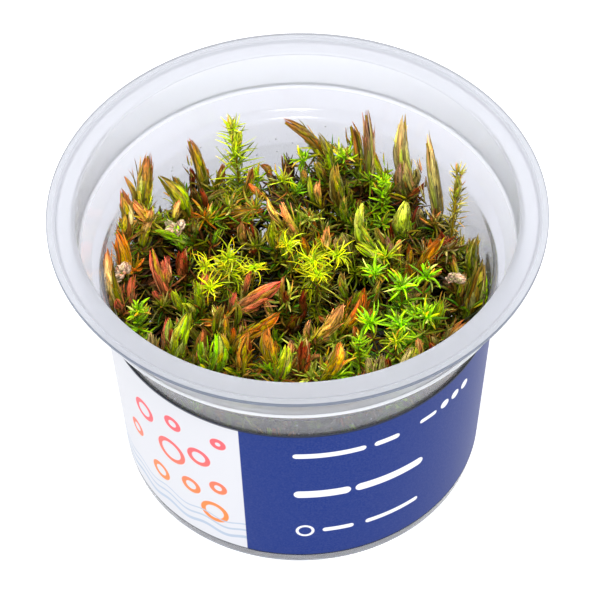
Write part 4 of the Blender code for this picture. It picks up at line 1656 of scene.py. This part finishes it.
def plantlet_names():
    """Node names in the order of PLANTLETS, numbered apart by the form of the main shoot."""
    counts = {SPEAR: 0, BUSHY: 0}
    names = []
    for shoots in PLANTLETS:
        form = shoots[0][0]
        counts[form] += 1
        names.append(f"{form}_shoot_{counts[form]:02d}")
    return names


def grow_plantlet(strands, index, shoots, leaf):
    """All shoots of one plantlet, with random draws of its own."""
    rng = random.Random(leaf.seed * 1000 + index)
    main_neck = shoot_place(shoots[0][1], shoots[0][3])
    foot = Vector((main_neck.x * STEM_LEAN, main_neck.y * STEM_LEAN, GEL_TOP - STEM_SINK))
    path = grow_shoot(strands, foot, shoots[0], MAIN_BARE, MAIN_SPRIGS, leaf, rng)
    if index in HUSKS:
        grow_husk(strands, path, Vector(HUSKS[index]) * MM, rng)
    for end, tint, is_open in EXTRA_SPRIGS.get(index, ()):
        grow_sprig(strands, path, LISTED_FORK, Vector(end) * MM, tint, is_open, leaf, rng)
    fork = foot.lerp(main_neck, SIDE_SHOOT_FORK)
    for shoot in shoots[1:]:
        grow_shoot(strands, fork, shoot, OTHER_BARE, OTHER_SPRIGS, leaf, rng)


class ROTALA_OT_plants(bpy.types.Operator):
    """Grows the leaves and stems of every plantlet"""

    bl_idname = "rotala.plants"
    bl_label = "Plants"

    def execute(self, context):
        leaf = context.scene.rotala_leaf
        tree = leaf_tree(leaf_material())
        for index, (node, shoots) in enumerate(zip(plantlet_names(), PLANTLETS)):
            strands = Strands(leaf.brightness, leaf.saturation)
            grow_plantlet(strands, index, shoots, leaf)
            mesh = grown_mesh(f"{node}_leaves", strands.mesh(node), tree, LEAF_SECTIONS)
            mesh_piece(f"{node}_leaves", mesh, f"{shoots[0][0]}_leaf", node)
        return {"FINISHED"}


def floor_material(settings):
    """White table top with a slight grain and a glow of its own."""
    material, tree, shader = new_material(
        "studio_floor", Roughness=0.6, Specular_IOR_Level=0.2,
        Emission_Color=(1.0, 1.0, 1.0, 1.0), Emission_Strength=settings.floor_glow,
    )
    shade = ramp(tree, noise(tree, position(tree), 40.0), 0.3, 0.7, 0.0, 0.02)
    link(tree, mix_colours(tree, shade, settings.floor_colour, (0.8, 0.8, 0.8)), shader, "Base Color")
    return material


def lay_floor(settings):
    """A wide floor just under the cup's foot, which isn't part of the object."""
    bm = bmesh.new()
    bmesh.ops.create_grid(bm, x_segments=1, y_segments=1, size=FLOOR_SIZE)
    mesh = mesh_from(bm, "floor")
    mesh.materials.append(floor_material(settings))
    floor = working_object("floor", mesh)
    floor.location.z = -FLOOR_DROP


def light_world(scene, strength):
    """Even white light from all round."""
    world = bpy.data.worlds.new("studio")
    world.use_nodes = True
    background = world.node_tree.nodes["Background"]
    background.inputs["Color"].default_value = (1.0, 1.0, 1.0, 1.0)
    background.inputs["Strength"].default_value = strength
    scene.world = world


def hang_key_lamp(scene, power):
    """One large round lamp over the front of the cup."""
    data = bpy.data.lights.new("key", "AREA")
    data.shape = "DISK"
    data.size = KEY_SIZE
    data.energy = power
    lamp = bpy.data.objects.new("key", data)
    scene.collection.objects.link(lamp)
    lamp.location = KEY_PLACE
    lamp.rotation_euler = (KEY_TARGET - KEY_PLACE).to_track_quat("-Z", "Y").to_euler()


def set_camera(scene):
    """The photograph's view: from the front and above, with a slight lean."""
    data = bpy.data.cameras.new("camera")
    data.lens = CAMERA_LENS
    data.sensor_width = CAMERA_SENSOR
    data.clip_start = CAMERA_NEAREST
    camera = bpy.data.objects.new("camera", data)
    scene.collection.objects.link(camera)
    back = Vector((0, -math.cos(CAMERA_ELEVATION), math.sin(CAMERA_ELEVATION)))
    place = Matrix.Translation(CAMERA_TARGET + back * CAMERA_DISTANCE)
    aim = (-back).to_track_quat("-Z", "Y").to_matrix().to_4x4()
    camera.matrix_world = place @ aim @ Matrix.Rotation(-CAMERA_ROLL, 4, "Z")
    scene.camera = camera


class ROTALA_OT_stage(bpy.types.Operator):
    """Lays the floor and sets the lights and the camera"""

    bl_idname = "rotala.stage"
    bl_label = "Stage"

    def execute(self, context):
        scene = context.scene
        settings = scene.rotala_stage
        lay_floor(settings)
        light_world(scene, settings.world_strength)
        hang_key_lamp(scene, settings.key_power)
        set_camera(scene)
        scene.view_settings.view_transform = "Standard"
        return {"FINISHED"}


class ROTALA_PT_panel(bpy.types.Panel):
    """Lists the pieces and their settings"""

    bl_label = "Rotala cup"
    bl_idname = "ROTALA_PT_panel"
    bl_space_type = "VIEW_3D"
    bl_region_type = "UI"
    bl_category = "Rotala"

    def draw(self, context):
        layout = self.layout
        for group in (context.scene.rotala_cup, context.scene.rotala_leaf, context.scene.rotala_stage):
            box = layout.box()
            for name in group.__annotations__:
                box.prop(group, name)
        for operator in OPERATORS:
            layout.operator(operator.bl_idname)


OPERATORS = (
    ROTALA_OT_cup,
    ROTALA_OT_drops,
    ROTALA_OT_label,
    ROTALA_OT_gel,
    ROTALA_OT_plants,
    ROTALA_OT_stage,
)
CLASSES = (
    RotalaCupSettings,
    RotalaLeafSettings,
    RotalaStageSettings,
    *OPERATORS,
    ROTALA_PT_panel,
)


def register():
    """Adds the classes and the scene's settings."""
    for cls in CLASSES:
        bpy.utils.register_class(cls)
    bpy.types.Scene.rotala_cup = bpy.props.PointerProperty(type=RotalaCupSettings)
    bpy.types.Scene.rotala_leaf = bpy.props.PointerProperty(type=RotalaLeafSettings)
    bpy.types.Scene.rotala_stage = bpy.props.PointerProperty(type=RotalaStageSettings)


def unregister():
    """Takes the settings and the classes away."""
    del bpy.types.Scene.rotala_cup
    del bpy.types.Scene.rotala_leaf
    del bpy.types.Scene.rotala_stage
    for cls in reversed(CLASSES):
        bpy.utils.unregister_class(cls)


def main():
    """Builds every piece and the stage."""
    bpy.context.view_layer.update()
    register()
    bpy.ops.rotala.cup()
    bpy.ops.rotala.drops()
    bpy.ops.rotala.label()
    bpy.ops.rotala.gel()
    bpy.ops.rotala.plants()
    bpy.ops.rotala.stage()


if __name__ == "__main__":
    main()
